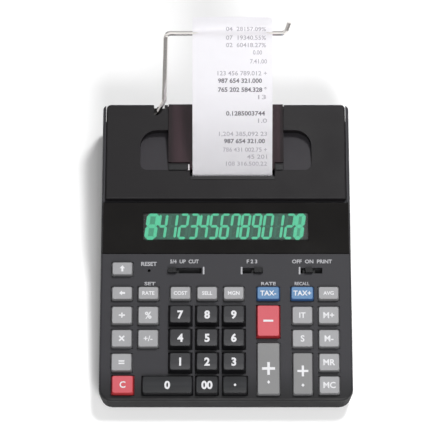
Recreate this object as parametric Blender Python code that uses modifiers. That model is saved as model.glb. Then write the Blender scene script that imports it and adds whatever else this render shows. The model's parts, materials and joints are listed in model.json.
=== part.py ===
# Thermal printing calculator: a keyboard housing with 36 keys, a display band, and a small
# printer under a smoke-tinted lid, with a wire arm that carries the printed strip.
# Metres, +Z up, keys towards -Y. The origin lies on the desk, under the middle of the whole.
import math

import bmesh
import bpy
from mathutils import Matrix, Vector

# Clearances and helpers shared by all pieces
fit_gap = 0.0003
cut_overrun = 0.006
corner_steps = 3
round_steps = 16
fine_steps = 24
bore_steps = 10
wire_sides = 2
bevel_segments = 2
bevel_angle_deg = 40.0
smooth_angle_deg = 35.0
flat_share = 0.99

# Housing
base_width = 0.180
body_depth = 0.215
split_height = 0.0150
case_wall = 0.0022
rim_radius = 0.0014
front_corner_radius = 0.0085
rear_corner_radius = 0.0030
side_draft_deg = 2.6
rear_draft_deg = 3.4
under_draft_deg = 5.0
deck_front_height = 0.0190
deck_length = 0.1064
deck_tilt_deg = 6.0
band_length = 0.0370
band_tilt_deg = 22.0

# Display
window_thickness = 0.0020
window_margin = 0.0010
panel_width = 0.124
panel_depth = 0.0240
panel_thickness = 0.0052
panel_rim = 0.0016

# Printer cover
groove_width = 0.0022
cover_step = 0.0016
cover_tilt_deg = 5.0
cover_wall = 0.0020
cover_ledge_depth = 0.0036
cover_ledge_drop = 0.0030
side_skirt_height = 0.0300
back_skirt_depth = 0.0120

# Paper lid
lid_half_width = 0.0412
lid_thickness = 0.0020
lid_proud = 0.0008
lid_front = 0.0216
lid_tongue = 0.0048
lid_rest_width = 0.0020
barrel_radius = 0.0030
barrel_centre = 0.0686
lid_pin_radius = 0.0014
lid_pin_length = 0.0020

# Finger scoops
scoop_width = 0.0200
scoop_front = 0.0214
scoop_rear = 0.0514
scoop_depth = 0.0070
scoop_corner_radius = 0.0120
scoop_front_radius = 0.0050

# Paper and its path
paper_width = 0.0570
paper_centre = 0.0047
paper_thickness = 0.00025
paper_slot_front = 0.0164
paper_slot_side = 0.0020
roll_radius = 0.0200
roll_core_radius = 0.0062
strip_rise_deg = 45.0
strip_crest_deg = 14.0
strip_tail = 0.0128
strip_tail_drop = 0.0008
strip_tail_shares = (0.33, 0.67, 1.0)
strip_steps = 10
wrap_steps = 6
roll_steps = 32

# Platen, gears and motor
platen_y = 0.1600
platen_height = 0.0370
platen_radius = 0.0050
platen_shaft_radius = 0.0015
roll_y = 0.1880
roll_height = 0.0272
gear_module = 0.0005
platen_teeth = 24
pinion_teeth = 12
gear_width = 0.0030
gear_backlash_share = 0.14
gear_tip_share = 0.90
gear_root_share = 1.15
tooth_root_share = 0.85
tooth_tip_share = 0.28
pinion_angle_deg = 233.0
motor_radius = 0.0100
motor_length = 0.0160
motor_boss_radius = 0.0038
motor_boss_length = 0.0012
motor_shaft_radius = 0.0010

# Chassis and head
chassis_wall = 0.0018
chassis_floor = 0.0020
chassis_front = 0.1468
chassis_rear = 0.2085
chassis_top = 0.0425
cradle_gap = 0.0008
cradle_start_deg = 238.0
cradle_end_deg = 350.0
cradle_steps = 14
head_height = 0.0090
head_base = 0.0022
head_depth = 0.0058
head_fin_count = 5

# Wire arm
arm_wire_radius = 0.0018
arm_lean_deg = 48.0
arm_length = 0.0634
arm_pivot_along = 0.0650
arm_pivot_depth = 0.0048
arm_foot_end = -0.0560
arm_foot_bend = -0.0502
arm_leg_base = -0.0445
arm_leg_base_rise = 0.0110
arm_leg_top = -0.0428
arm_bar_end = 0.0410
arm_tip_out = 0.0450
arm_tip_rise = 0.0085
arm_bend_radius = 0.0034
arm_bend_steps = 4
notch_left = -0.0518
notch_right = -0.0442
notch_front = 0.0628
notch_chamfer = 0.0046
notch_depth = 0.0082

# Tear bar
tear_bar_depth = 0.0020
tear_bar_thickness = 0.0006
tear_tooth_pitch = 0.0020
tear_tooth_height = 0.0009

# Keys: places across the deck (columns) and up the deck (rows)
column_a = -0.0738
column_b = -0.0551
column_c = -0.0323
column_d = -0.0133
column_e = 0.0056
column_f = 0.0301
column_g = 0.0543
column_h = 0.0730
row_0 = 0.0950
row_1 = 0.0770
row_2 = 0.0609
row_3 = 0.0440
row_4 = 0.0268
row_5 = 0.0104
zero_x = -0.0414
double_zero_x = -0.0134
point_x = 0.0064
minus_v = 0.0566
plus_v = 0.0222
total_v = 0.0186
clear_x = -0.0729
clear_v = 0.0106
key_travel = 0.0022
key_clearance = 0.0004
key_flange_out = 0.0007
key_flange_thickness = 0.0011
key_corner_radius = 0.0012
key_collar = 0.0004
flat_key_width = 0.0142
flat_key_depth = 0.0124
flat_key_height = 0.0034
flat_key_taper = 0.0004
small_key_depth = 0.0092
digit_key_width = 0.0144
digit_key_height = 0.0060
digit_key_taper = 0.0011
digit_key_dish = 0.0005
dish_shares = (-0.66, -0.33, 0.33, 0.66)
wide_key_taper = 0.0006
zero_key_width = 0.0347
double_zero_key_width = 0.0150
point_key_width = 0.0165
operator_key_width = 0.0156
minus_key_depth = 0.0224
plus_key_depth = 0.0370
total_key_width = 0.0136
total_key_depth = 0.0296
clear_key_width = 0.0148
clear_key_depth = 0.0126
operator_key_height = 0.0042

# Slide switches
switch_margin = 0.0122
switch_slot_depth = 0.0042
switch_height = 0.0026
switch_flange_out = 0.0016
switch_flange_thickness = 0.0010
switch_rib_count = 3
switch_rib_height = 0.0005
rounding_slot_left = -0.0415
rounding_slot_right = -0.0173
rounding_knob_width = 0.0064
decimal_slot_left = 0.0112
decimal_slot_right = 0.0264
decimal_knob_width = 0.0064
print_slot_left = 0.0532
print_slot_right = 0.0689
print_knob_width = 0.0056
print_knob_start = 0.0033
reset_x = -0.0548
reset_v = 0.0942
reset_hole_radius = 0.0011

# Key mat and board
mat_thickness = 0.0007
dome_height = 0.0026
dome_base_radius = 0.0034
dome_top_radius = 0.0019
dome_steps = 8
board_margin = 0.0100
board_front = 0.0034
board_rear = 0.1010
board_thickness = 0.0016
board_chip_size = 0.0120
board_chip_height = 0.0016
post_radius = 0.0022
post_x = 0.0438
post_rows_share = (0.20, 0.52, 0.86)

# Base, feet, screws and jack
foot_height = 0.0016
foot_width = 0.0090
foot_half_length = 0.0560
foot_recess = 0.0008
foot_front_y = 0.0140
foot_rear_margin = 0.0110
screw_margin = 0.0054
screw_front_y = 0.0185
screw_rear_inset = 0.0140
screw_rear_margin = 0.0210
screw_radius = 0.0011
screw_head_radius = 0.0023
screw_head_height = 0.0020
screw_bite = 0.0060
boss_radius = 0.0026
front_boss_height = 0.0110
rear_boss_height = 0.0240
jack_x = -0.0600
jack_height = 0.0086
jack_width = 0.0095
jack_body_depth = 0.0120
jack_body_height = 0.0086
jack_collar_radius = 0.0040
jack_bore_radius = 0.0028
jack_bore_depth = 0.0090
jack_pin_radius = 0.0010


def along(start, length, degrees):
    """Point reached from start (y, z) over a length at an angle above the horizontal."""
    angle = math.radians(degrees)
    return (start[0] + length * math.cos(angle), start[1] + length * math.sin(angle))


# The body's profile, seen from the side, as (y, z)
deck_front = (0.0, deck_front_height)
deck_rear = along(deck_front, deck_length, deck_tilt_deg)
band_rear = along(deck_rear, band_length, band_tilt_deg)
cover_front = (band_rear[0] + groove_width, band_rear[1] + cover_step)
profile_end_y = body_depth + cut_overrun
switch_v = deck_length - switch_margin
board_half_width = base_width / 2 - board_margin
foot_rear_y = body_depth - foot_rear_margin
screw_x = base_width / 2 - screw_margin
screw_rear_x = base_width / 2 - screw_rear_inset
screw_rear_y = body_depth - screw_rear_margin
sky_height = cover_front[1] + body_depth * math.tan(math.radians(cover_tilt_deg))


def cover_point(s, height):
    """Body (y, z) of a point given along the printer cover and above its surface."""
    angle = math.radians(cover_tilt_deg)
    y = cover_front[0] + s * math.cos(angle) - height * math.sin(angle)
    z = cover_front[1] + s * math.sin(angle) + height * math.cos(angle)
    return (y, z)


def clear_scene():
    for item in list(bpy.data.objects):
        bpy.data.objects.remove(item, do_unlink=True)
    parts = bpy.data.collections.new("thermal_printing_calculator")
    cutters = bpy.data.collections.new("cutters")
    bpy.context.scene.collection.children.link(parts)
    bpy.context.scene.collection.children.link(cutters)
    return parts, cutters


parts, cutters = clear_scene()


def make_material(name, colour, roughness, metallic=0.0, alpha=1.0):
    material = bpy.data.materials.new(name)
    material.use_nodes = True
    shader = material.node_tree.nodes["Principled BSDF"]
    shader.inputs["Base Color"].default_value = (*colour, 1.0)
    shader.inputs["Roughness"].default_value = roughness
    shader.inputs["Metallic"].default_value = metallic
    shader.inputs["Alpha"].default_value = alpha
    material.diffuse_color = (*colour, 1.0)
    return material


def add_frame(name, place, tilt_deg, parent):
    frame = bpy.data.objects.new(name, None)
    parts.objects.link(frame)
    frame.parent = parent
    frame.location = place
    frame.rotation_euler = (math.radians(tilt_deg), 0.0, 0.0)
    return frame


def add_part(name, mesh, material, parent, place=(0.0, 0.0, 0.0)):
    part = bpy.data.objects.new(name, mesh)
    parts.objects.link(part)
    mesh.materials.append(material)
    mesh.shade_smooth()
    mesh.set_sharp_from_angle(angle=math.radians(smooth_angle_deg))
    part.parent = parent
    part.location = place
    return part


def add_cutter(name, mesh, parent, place=(0.0, 0.0, 0.0)):
    cutter = bpy.data.objects.new(name, mesh)
    cutters.objects.link(cutter)
    cutter.parent = parent
    cutter.location = place
    cutter.hide_render = True
    cutter.display_type = "WIRE"
    return cutter


def boolean(target, tool, operation="DIFFERENCE"):
    modifier = target.modifiers.new(f"{operation.lower()}_{tool.name}", "BOOLEAN")
    modifier.operation = operation
    modifier.solver = "EXACT"
    modifier.object = tool


def join(target, tool):
    boolean(target, tool, "UNION")


def mesh_from(work, name):
    bmesh.ops.recalc_face_normals(work, faces=work.faces)
    mesh = bpy.data.meshes.new(name)
    work.to_mesh(mesh)
    work.free()
    return mesh


def box_mesh(name, low, high):
    work = bmesh.new()
    bmesh.ops.create_cube(work, size=1.0)
    size = Vector(high) - Vector(low)
    middle = (Vector(high) + Vector(low)) / 2
    bmesh.ops.scale(work, vec=size, verts=work.verts)
    bmesh.ops.translate(work, vec=middle, verts=work.verts)
    return mesh_from(work, name)


def join_meshes(name, meshes):
    work = bmesh.new()
    for mesh in meshes:
        work.from_mesh(mesh)
        bpy.data.meshes.remove(mesh)
    return mesh_from(work, name)


def cylinder_mesh(name, radius, low, high, axis="Z", steps=round_steps, end_radius=None):
    """Cylinder or cone between two centres that differ along one axis."""
    start = Vector(low)
    length = (Vector(high) - start).length
    end = radius if end_radius is None else end_radius
    work = bmesh.new()
    bmesh.ops.create_cone(work, cap_ends=True, segments=steps, radius1=radius, radius2=end,
                          depth=length)
    bmesh.ops.translate(work, vec=(0.0, 0.0, length / 2), verts=work.verts)
    turns = {"Z": Matrix(), "X": Matrix.Rotation(math.radians(90.0), 4, "Y"),
             "Y": Matrix.Rotation(math.radians(-90.0), 4, "X")}
    bmesh.ops.transform(work, matrix=Matrix.Translation(start) @ turns[axis], verts=work.verts)
    return mesh_from(work, name)


def loft_mesh(name, rings):
    """Closed solid through rings of equal count, from the first cap to the last."""
    work = bmesh.new()
    rows = [[work.verts.new(point) for point in ring] for ring in rings]
    count = len(rows[0])
    for low, high in zip(rows, rows[1:]):
        for i in range(count):
            j = (i + 1) % count
            work.faces.new((low[i], low[j], high[j], high[i]))
    work.faces.new(list(reversed(rows[0])))
    work.faces.new(rows[-1])
    return mesh_from(work, name)


def arc(centre, radius, start_deg, end_deg, steps):
    """Points of an arc, both ends included."""
    points = []
    for i in range(steps + 1):
        angle = math.radians(start_deg + (end_deg - start_deg) * i / steps)
        points.append((centre[0] + radius * math.cos(angle),
                       centre[1] + radius * math.sin(angle)))
    return points


def rounded_outline(left, right, front, rear, front_radius, rear_radius, steps=corner_steps):
    """Rectangle with its own corner radius at the front and at the rear."""
    points = arc((right - front_radius, front + front_radius), front_radius, -90.0, 0.0, steps)
    points += arc((right - rear_radius, rear - rear_radius), rear_radius, 0.0, 90.0, steps)
    points += arc((left + rear_radius, rear - rear_radius), rear_radius, 90.0, 180.0, steps)
    points += arc((left + front_radius, front + front_radius), front_radius, 180.0, 270.0, steps)
    return points


side_view = Matrix(((0.0, 0.0, 1.0, 0.0), (1.0, 0.0, 0.0, 0.0),
                    (0.0, 1.0, 0.0, 0.0), (0.0, 0.0, 0.0, 1.0)))
top_view = Matrix()


def plate_mesh(name, points, low, high, view=side_view, holes=()):
    """Outline filled and extruded from low to high across its plane."""
    curve = bpy.data.curves.new(name, "CURVE")
    curve.dimensions = "2D"
    curve.fill_mode = "BOTH"
    curve.extrude = (high - low) / 2
    for outline in (points, *holes):
        spline = curve.splines.new("POLY")
        spline.points.add(len(outline) - 1)
        for point, place in zip(spline.points, outline):
            point.co = (place[0], place[1], 0.0, 1.0)
        spline.use_cyclic_u = True
    holder = bpy.data.objects.new(name, curve)
    parts.objects.link(holder)
    depsgraph = bpy.context.evaluated_depsgraph_get()
    mesh = bpy.data.meshes.new_from_object(holder.evaluated_get(depsgraph))
    bpy.data.objects.remove(holder, do_unlink=True)
    bpy.data.curves.remove(curve)
    work = bmesh.new()
    work.from_mesh(mesh)
    bpy.data.meshes.remove(mesh)
    bmesh.ops.remove_doubles(work, verts=work.verts, dist=fit_gap / 100)
    bmesh.ops.translate(work, vec=(0.0, 0.0, (high + low) / 2), verts=work.verts)
    bmesh.ops.transform(work, matrix=view, verts=work.verts)
    return mesh_from(work, name)


def tube_mesh(name, points, radius):
    """Round wire along a list of points, with closed ends."""
    curve = bpy.data.curves.new(name, "CURVE")
    curve.dimensions = "3D"
    curve.bevel_depth = radius
    curve.bevel_resolution = wire_sides
    curve.use_fill_caps = True
    spline = curve.splines.new("POLY")
    spline.points.add(len(points) - 1)
    for point, place in zip(spline.points, points):
        point.co = (*place, 1.0)
    holder = bpy.data.objects.new(name, curve)
    parts.objects.link(holder)
    depsgraph = bpy.context.evaluated_depsgraph_get()
    mesh = bpy.data.meshes.new_from_object(holder.evaluated_get(depsgraph))
    bpy.data.objects.remove(holder, do_unlink=True)
    bpy.data.curves.remove(curve)
    work = bmesh.new()
    work.from_mesh(mesh)
    bpy.data.meshes.remove(mesh)
    bmesh.ops.remove_doubles(work, verts=work.verts, dist=fit_gap / 100)
    return mesh_from(work, name)


def turned_mesh(name, profile, axis_matrix, steps=round_steps):
    """Solid of revolution: (radius, height) points from the top of the axis to its foot."""
    mesh = bpy.data.meshes.new(name)
    edges = [(i, i + 1) for i in range(len(profile) - 1)]
    mesh.from_pydata([(radius, 0.0, height) for radius, height in profile], edges, [])
    holder = bpy.data.objects.new(name, mesh)
    parts.objects.link(holder)
    screw = holder.modifiers.new("turn", "SCREW")
    screw.steps = steps
    screw.render_steps = steps
    screw.use_merge_vertices = True
    screw.merge_threshold = fit_gap / 10
    screw.use_smooth_shade = False
    depsgraph = bpy.context.evaluated_depsgraph_get()
    turned = bpy.data.meshes.new_from_object(holder.evaluated_get(depsgraph))
    bpy.data.objects.remove(holder, do_unlink=True)
    bpy.data.meshes.remove(mesh)
    work = bmesh.new()
    work.from_mesh(turned)
    bpy.data.meshes.remove(turned)
    bmesh.ops.remove_doubles(work, verts=work.verts, dist=fit_gap / 100)
    bmesh.ops.transform(work, matrix=axis_matrix, verts=work.verts)
    return mesh_from(work, name)


def across(x, y, z):
    """Matrix that lays a turned shape's axis along +X, its foot at x, y, z."""
    return Matrix.Translation((x, y, z)) @ Matrix.Rotation(math.radians(90.0), 4, "Y")


# The strip's path: off the roll, round the platen, out of the slot and over the arm
def arm_point(rise):
    """Body (y, z) of a point of the arm, given its distance from the pivot."""
    pivot = cover_point(arm_pivot_along, -arm_pivot_depth)
    return along(pivot, rise, arm_lean_deg)


def strip_path():
    platen = Vector((platen_y, platen_height))
    roll = Vector((roll_y, roll_height))
    wrap = platen_radius + fit_gap + paper_thickness / 2
    leave = roll_radius + fit_gap + paper_thickness / 2
    apart = platen - roll
    lean = math.degrees(math.acos((leave - wrap) / apart.length))
    tangent_deg = math.degrees(math.atan2(apart.y, apart.x)) + lean
    path = [tuple(roll + Vector((math.cos(math.radians(tangent_deg)),
                                 math.sin(math.radians(tangent_deg)))) * leave)]
    path += arc(platen, wrap, tangent_deg, 180.0 - strip_rise_deg, wrap_steps)
    slot_middle = cover_point((paper_slot_front + lid_front) / 2, 0.0)
    rise = math.tan(math.radians(strip_rise_deg))
    start = Vector(path[-1])
    reach = slot_middle[0] - start.x
    first = start + Vector((reach, reach * rise))
    bar = Vector(arm_point(arm_length))
    crest = bar + Vector((0.0, arm_wire_radius + fit_gap + paper_thickness))
    span = (crest - first).length / 3
    rise_way = Vector((math.cos(math.radians(strip_rise_deg)),
                       math.sin(math.radians(strip_rise_deg))))
    crest_way = Vector((math.cos(math.radians(strip_crest_deg)),
                        math.sin(math.radians(strip_crest_deg))))
    handles = (first, first + rise_way * span, crest - crest_way * span, crest)
    for i in range(strip_steps + 1):
        t = i / strip_steps
        blend = ((1 - t) ** 3, 3 * t * (1 - t) ** 2, 3 * t * t * (1 - t), t ** 3)
        path.append(tuple(sum((p * w for p, w in zip(handles, blend)), Vector((0.0, 0.0)))))
    for share in strip_tail_shares:
        path.append((crest.x + strip_tail * share,
                     crest.y + strip_tail * share * math.tan(math.radians(strip_crest_deg))
                     * (1.0 - share) - strip_tail_drop * share))
    return path


paper_path = strip_path()
rear_reach = paper_path[-1][0]

# Frames that the pieces are placed in
calculator = add_frame("calculator_frame", (0.0, -rear_reach / 2, 0.0), 0.0, None)
deck_frame = add_frame("deck_frame", (0.0, *deck_front), deck_tilt_deg, calculator)
band_frame = add_frame("band_frame", (0.0, *deck_rear), band_tilt_deg, calculator)
cover_frame = add_frame("cover_frame", (0.0, *cover_front), cover_tilt_deg, calculator)

# Finishes
deck_plastic = make_material("deck_plastic", (0.055, 0.056, 0.068), 0.62)
cover_plastic = make_material("cover_plastic", (0.040, 0.038, 0.042), 0.55)
base_plastic = make_material("base_plastic", (0.030, 0.030, 0.034), 0.60)
window_gloss = make_material("window_gloss", (0.012, 0.010, 0.010), 0.08)
display_glass = make_material("display_glass", (0.020, 0.110, 0.080), 0.20)
smoke_plastic = make_material("smoke_plastic", (0.105, 0.060, 0.062), 0.15, alpha=0.8)
steel = make_material("steel", (0.45, 0.45, 0.46), 0.30, metallic=1.0)
chrome = make_material("chrome", (0.80, 0.80, 0.81), 0.10, metallic=1.0)
aluminium = make_material("aluminium", (0.60, 0.61, 0.63), 0.35, metallic=1.0)
platen_rubber = make_material("platen_rubber", (0.025, 0.025, 0.027), 0.75)
gear_plastic = make_material("gear_plastic", (0.70, 0.69, 0.64), 0.45)
chassis_plastic = make_material("chassis_plastic", (0.022, 0.022, 0.024), 0.55)
paper_white = make_material("paper_white", (0.86, 0.86, 0.87), 0.80)
digit_black = make_material("digit_black", (0.028, 0.028, 0.031), 0.38)
key_grey = make_material("key_grey", (0.42, 0.42, 0.43), 0.50)
key_red = make_material("key_red", (0.72, 0.07, 0.08), 0.45)
key_blue = make_material("key_blue", (0.10, 0.30, 0.68), 0.45)
mat_silicone = make_material("mat_silicone", (0.45, 0.47, 0.48), 0.70)
board_green = make_material("board_green", (0.03, 0.16, 0.07), 0.50)
foot_rubber = make_material("foot_rubber", (0.03, 0.03, 0.03), 0.85)


def upper_half_width(height, inset):
    lean = math.tan(math.radians(side_draft_deg)) * (height - split_height)
    return base_width / 2 - lean - inset


def upper_rear(height, inset):
    return body_depth - math.tan(math.radians(rear_draft_deg)) * (height - split_height) - inset


def inner_radius(radius, inset):
    """Corner radius of a wall's inner side, never sharper than the running gap."""
    return max(radius - inset, fit_gap)


def upper_ring(height, inset):
    half = upper_half_width(height, inset)
    outline = rounded_outline(-half, half, inset, upper_rear(height, inset),
                              inner_radius(front_corner_radius, inset),
                              inner_radius(rear_corner_radius, inset), corner_steps + 2)
    return [(x, y, height) for x, y in outline]


def lower_ring(height, inset):
    lean = math.tan(math.radians(under_draft_deg)) * (split_height - height)
    half = base_width / 2 - lean - inset
    outline = rounded_outline(-half, half, inset, body_depth - lean - inset,
                              inner_radius(front_corner_radius, inset),
                              inner_radius(rear_corner_radius, inset), corner_steps + 2)
    return [(x, y, height) for x, y in outline]


def rim_bevel(target, width):
    bevel = target.modifiers.new("rim", "BEVEL")
    bevel.width = width
    bevel.segments = bevel_segments
    bevel.limit_method = "ANGLE"
    bevel.angle_limit = math.radians(bevel_angle_deg)
    bevel.use_clamp_overlap = True
    bevel.harden_normals = False


def surface_under(start, tilt_deg, drop, at_y):
    """Height of a line that runs a drop below a sloping surface."""
    angle = math.radians(tilt_deg)
    return start[1] + (at_y - start[0]) * math.tan(angle) - drop / math.cos(angle)


def line_crossing(first, first_tilt, first_drop, second, second_tilt, second_drop):
    """Where two such lines meet, as (y, z)."""
    rise_1 = math.tan(math.radians(first_tilt))
    rise_2 = math.tan(math.radians(second_tilt))
    level_1 = surface_under(first, first_tilt, first_drop, 0.0)
    level_2 = surface_under(second, second_tilt, second_drop, 0.0)
    y = (level_2 - level_1) / (rise_1 - rise_2)
    return (y, level_1 + rise_1 * y)


# All keys: name, x, v, width, depth, height, taper, dish, finish
key_rows = []


def add_key_row(names, columns, v, depth):
    for name, x in zip(names, columns):
        key_rows.append((name, x, v, flat_key_width, depth, flat_key_height, flat_key_taper,
                         0.0, key_grey))


def list_keys():
    outer = (column_a, column_b)
    middle = (column_c, column_d, column_e)
    add_key_row(("key_feed",), (column_a,), row_0, small_key_depth)
    add_key_row(("key_back", "key_rate"), outer, row_1, small_key_depth)
    add_key_row(("key_cost", "key_sell", "key_margin"), middle, row_1, small_key_depth)
    add_key_row(("key_average",), (column_h,), row_1, small_key_depth)
    add_key_row(("key_divide", "key_percent"), outer, row_2, flat_key_depth)
    add_key_row(("key_multiply", "key_sign"), outer, row_3, flat_key_depth)
    add_key_row(("key_equals",), (column_a,), row_4, flat_key_depth)
    add_key_row(("key_items", "key_memory_plus"), (column_g, column_h), row_2, flat_key_depth)
    add_key_row(("key_subtotal", "key_memory_minus"), (column_g, column_h), row_3,
                flat_key_depth)
    add_key_row(("key_memory_recall",), (column_h,), row_4, flat_key_depth)
    add_key_row(("key_memory_clear",), (column_h,), row_5, flat_key_depth)
    for name, x in (("key_tax_minus", column_f), ("key_tax_plus", column_g)):
        key_rows.append((name, x, row_1, operator_key_width, small_key_depth, flat_key_height,
                         flat_key_taper, 0.0, key_blue))
    for row, digits in ((row_2, "789"), (row_3, "456"), (row_4, "123")):
        for digit, x in zip(digits, middle):
            key_rows.append((f"key_{digit}", x, row, digit_key_width, flat_key_depth,
                             digit_key_height, digit_key_taper, digit_key_dish, digit_black))
    for name, x, width in (("key_0", zero_x, zero_key_width),
                           ("key_00", double_zero_x, double_zero_key_width),
                           ("key_point", point_x, point_key_width)):
        key_rows.append((name, x, row_5, width, flat_key_depth, operator_key_height,
                         wide_key_taper, digit_key_dish, digit_black))
    key_rows.append(("key_minus", column_f, minus_v, operator_key_width, minus_key_depth,
                     operator_key_height, wide_key_taper, 0.0, key_red))
    key_rows.append(("key_plus", column_f, plus_v, operator_key_width, plus_key_depth,
                     flat_key_height, flat_key_taper, 0.0, key_grey))
    key_rows.append(("key_total", column_g, total_v, total_key_width, total_key_depth,
                     flat_key_height, flat_key_taper, 0.0, key_grey))
    key_rows.append(("key_clear", clear_x, clear_v, clear_key_width, clear_key_depth,
                     operator_key_height, wide_key_taper, 0.0, key_red))


list_keys()


def key_ring(width, depth, height, radius):
    outline = rounded_outline(-width / 2, width / 2, -depth / 2, depth / 2, radius, radius, 2)
    return [(x, y, height) for x, y in outline]


def dish_top(mesh, depth, dish):
    """Hollow the flat top of a key into a shallow trough that runs across it."""
    work = bmesh.new()
    work.from_mesh(mesh)
    work.faces.ensure_lookup_table()
    top = max(work.faces, key=lambda face: face.calc_center_median().z)
    level = top.calc_center_median().z
    for share in dish_shares:
        faces = [face for face in work.faces if face.normal.z > flat_share
                 and abs(face.calc_center_median().z - level) < fit_gap / 10]
        parts_of_top = set(faces)
        for face in faces:
            parts_of_top.update(face.edges)
            parts_of_top.update(face.verts)
        bmesh.ops.bisect_plane(work, geom=list(parts_of_top), dist=fit_gap / 100,
                               plane_co=(0.0, depth / 2 * share, 0.0),
                               plane_no=(0.0, 1.0, 0.0))
    for vert in work.verts:
        if abs(vert.co.z - level) < fit_gap / 10:
            share = min(1.0, abs(vert.co.y) / (depth / 2))
            vert.co.z -= dish * (1.0 - share * share)
    work.to_mesh(mesh)
    work.free()


def make_keys():
    flange_top = -case_wall - fit_gap
    flange_low = flange_top - key_flange_thickness
    for name, x, v, width, depth, height, taper, dish, finish in key_rows:
        wide = width + 2 * taper
        deep = depth + 2 * taper
        skirt = 2 * key_flange_out
        edge = 2 * key_collar
        rings = [key_ring(wide + skirt, deep + skirt, flange_low, key_corner_radius),
                 key_ring(wide + skirt, deep + skirt, flange_top, key_corner_radius),
                 key_ring(wide, deep, flange_top, key_corner_radius),
                 key_ring(wide, deep, key_collar, key_corner_radius),
                 key_ring(width, depth, height - key_collar, key_corner_radius),
                 key_ring(width - edge, depth - edge, height, key_corner_radius)]
        mesh = loft_mesh(name, rings)
        if dish > 0.0:
            dish_top(mesh, depth - edge, dish)
        add_part(name, mesh, finish, deck_frame, (x, v, 0.0))


def make_key_openings():
    boxes = []
    for name, x, v, width, depth, height, taper, dish, finish in key_rows:
        wide = width / 2 + taper + key_clearance
        deep = depth / 2 + taper + key_clearance
        boxes.append(box_mesh(name, (x - wide, v - deep, -case_wall - cut_overrun / 4),
                              (x + wide, v + deep, cut_overrun / 4)))
    return add_cutter("key_openings", join_meshes("key_openings", boxes), deck_frame)


# Slide switches: name, slot left, slot right, knob width, knob start from the slot's left
switch_rows = (
    ("rounding_switch", rounding_slot_left, rounding_slot_right, rounding_knob_width, 0.0),
    ("decimal_switch", decimal_slot_left, decimal_slot_right, decimal_knob_width,
     decimal_slot_right - decimal_slot_left - decimal_knob_width),
    ("print_switch", print_slot_left, print_slot_right, print_knob_width, print_knob_start),
)


def make_switches():
    half_depth = switch_slot_depth / 2 - fit_gap
    flange_half_depth = switch_slot_depth / 2 + switch_flange_out
    flange_top = -case_wall - fit_gap
    for name, left, right, width, start in switch_rows:
        half = width / 2 - fit_gap
        flange_half = width / 2 + switch_flange_out
        centre = left + start + width / 2
        rings = [[(x, y, flange_top - switch_flange_thickness) for x, y in
                  rounded_outline(-flange_half, flange_half, -flange_half_depth,
                                  flange_half_depth, fit_gap, fit_gap, 1)],
                 [(x, y, flange_top) for x, y in
                  rounded_outline(-flange_half, flange_half, -flange_half_depth,
                                  flange_half_depth, fit_gap, fit_gap, 1)],
                 [(x, y, flange_top) for x, y in
                  rounded_outline(-half, half, -half_depth, half_depth, fit_gap, fit_gap, 1)],
                 [(x, y, switch_height) for x, y in
                  rounded_outline(-half, half, -half_depth, half_depth, fit_gap, fit_gap, 1)]]
        knob = add_part(name, loft_mesh(name, rings), digit_black, deck_frame,
                        (centre, switch_v, 0.0))
        pitch = 2 * half / switch_rib_count
        grooves = []
        for i in range(switch_rib_count):
            middle = -half + pitch * (i + 0.5)
            grooves.append(box_mesh(name, (middle - pitch / 4, -half_depth - cut_overrun,
                                           switch_height - switch_rib_height),
                                    (middle + pitch / 4, half_depth + cut_overrun,
                                     switch_height + cut_overrun)))
        tool = add_cutter(f"{name}_grooves", join_meshes(f"{name}_grooves", grooves),
                          deck_frame, (centre, switch_v, 0.0))
        boolean(knob, tool)


def make_switch_slots():
    boxes = []
    for name, left, right, width, start in switch_rows:
        boxes.append(box_mesh(name, (left, switch_v - switch_slot_depth / 2,
                                     -case_wall - cut_overrun / 4),
                              (right, switch_v + switch_slot_depth / 2, cut_overrun / 4)))
    boxes.append(cylinder_mesh("reset_hole", reset_hole_radius,
                               (reset_x, reset_v, -case_wall - cut_overrun / 4),
                               (reset_x, reset_v, cut_overrun / 4), steps=bore_steps))
    return add_cutter("switch_slots", join_meshes("switch_slots", boxes), deck_frame)


# Levels below the deck, measured square to it
mat_top = -(case_wall + fit_gap + key_flange_thickness + fit_gap + dome_height)
mat_low = mat_top - mat_thickness
board_top = mat_low - fit_gap
board_low = board_top - board_thickness


def post_places():
    """Board posts: x and v of each, between the key columns."""
    places = []
    for share in post_rows_share:
        v = board_front + (board_rear - board_front) * share
        for side in (-1, 1):
            places.append((side * post_x, v))
    return places


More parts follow.
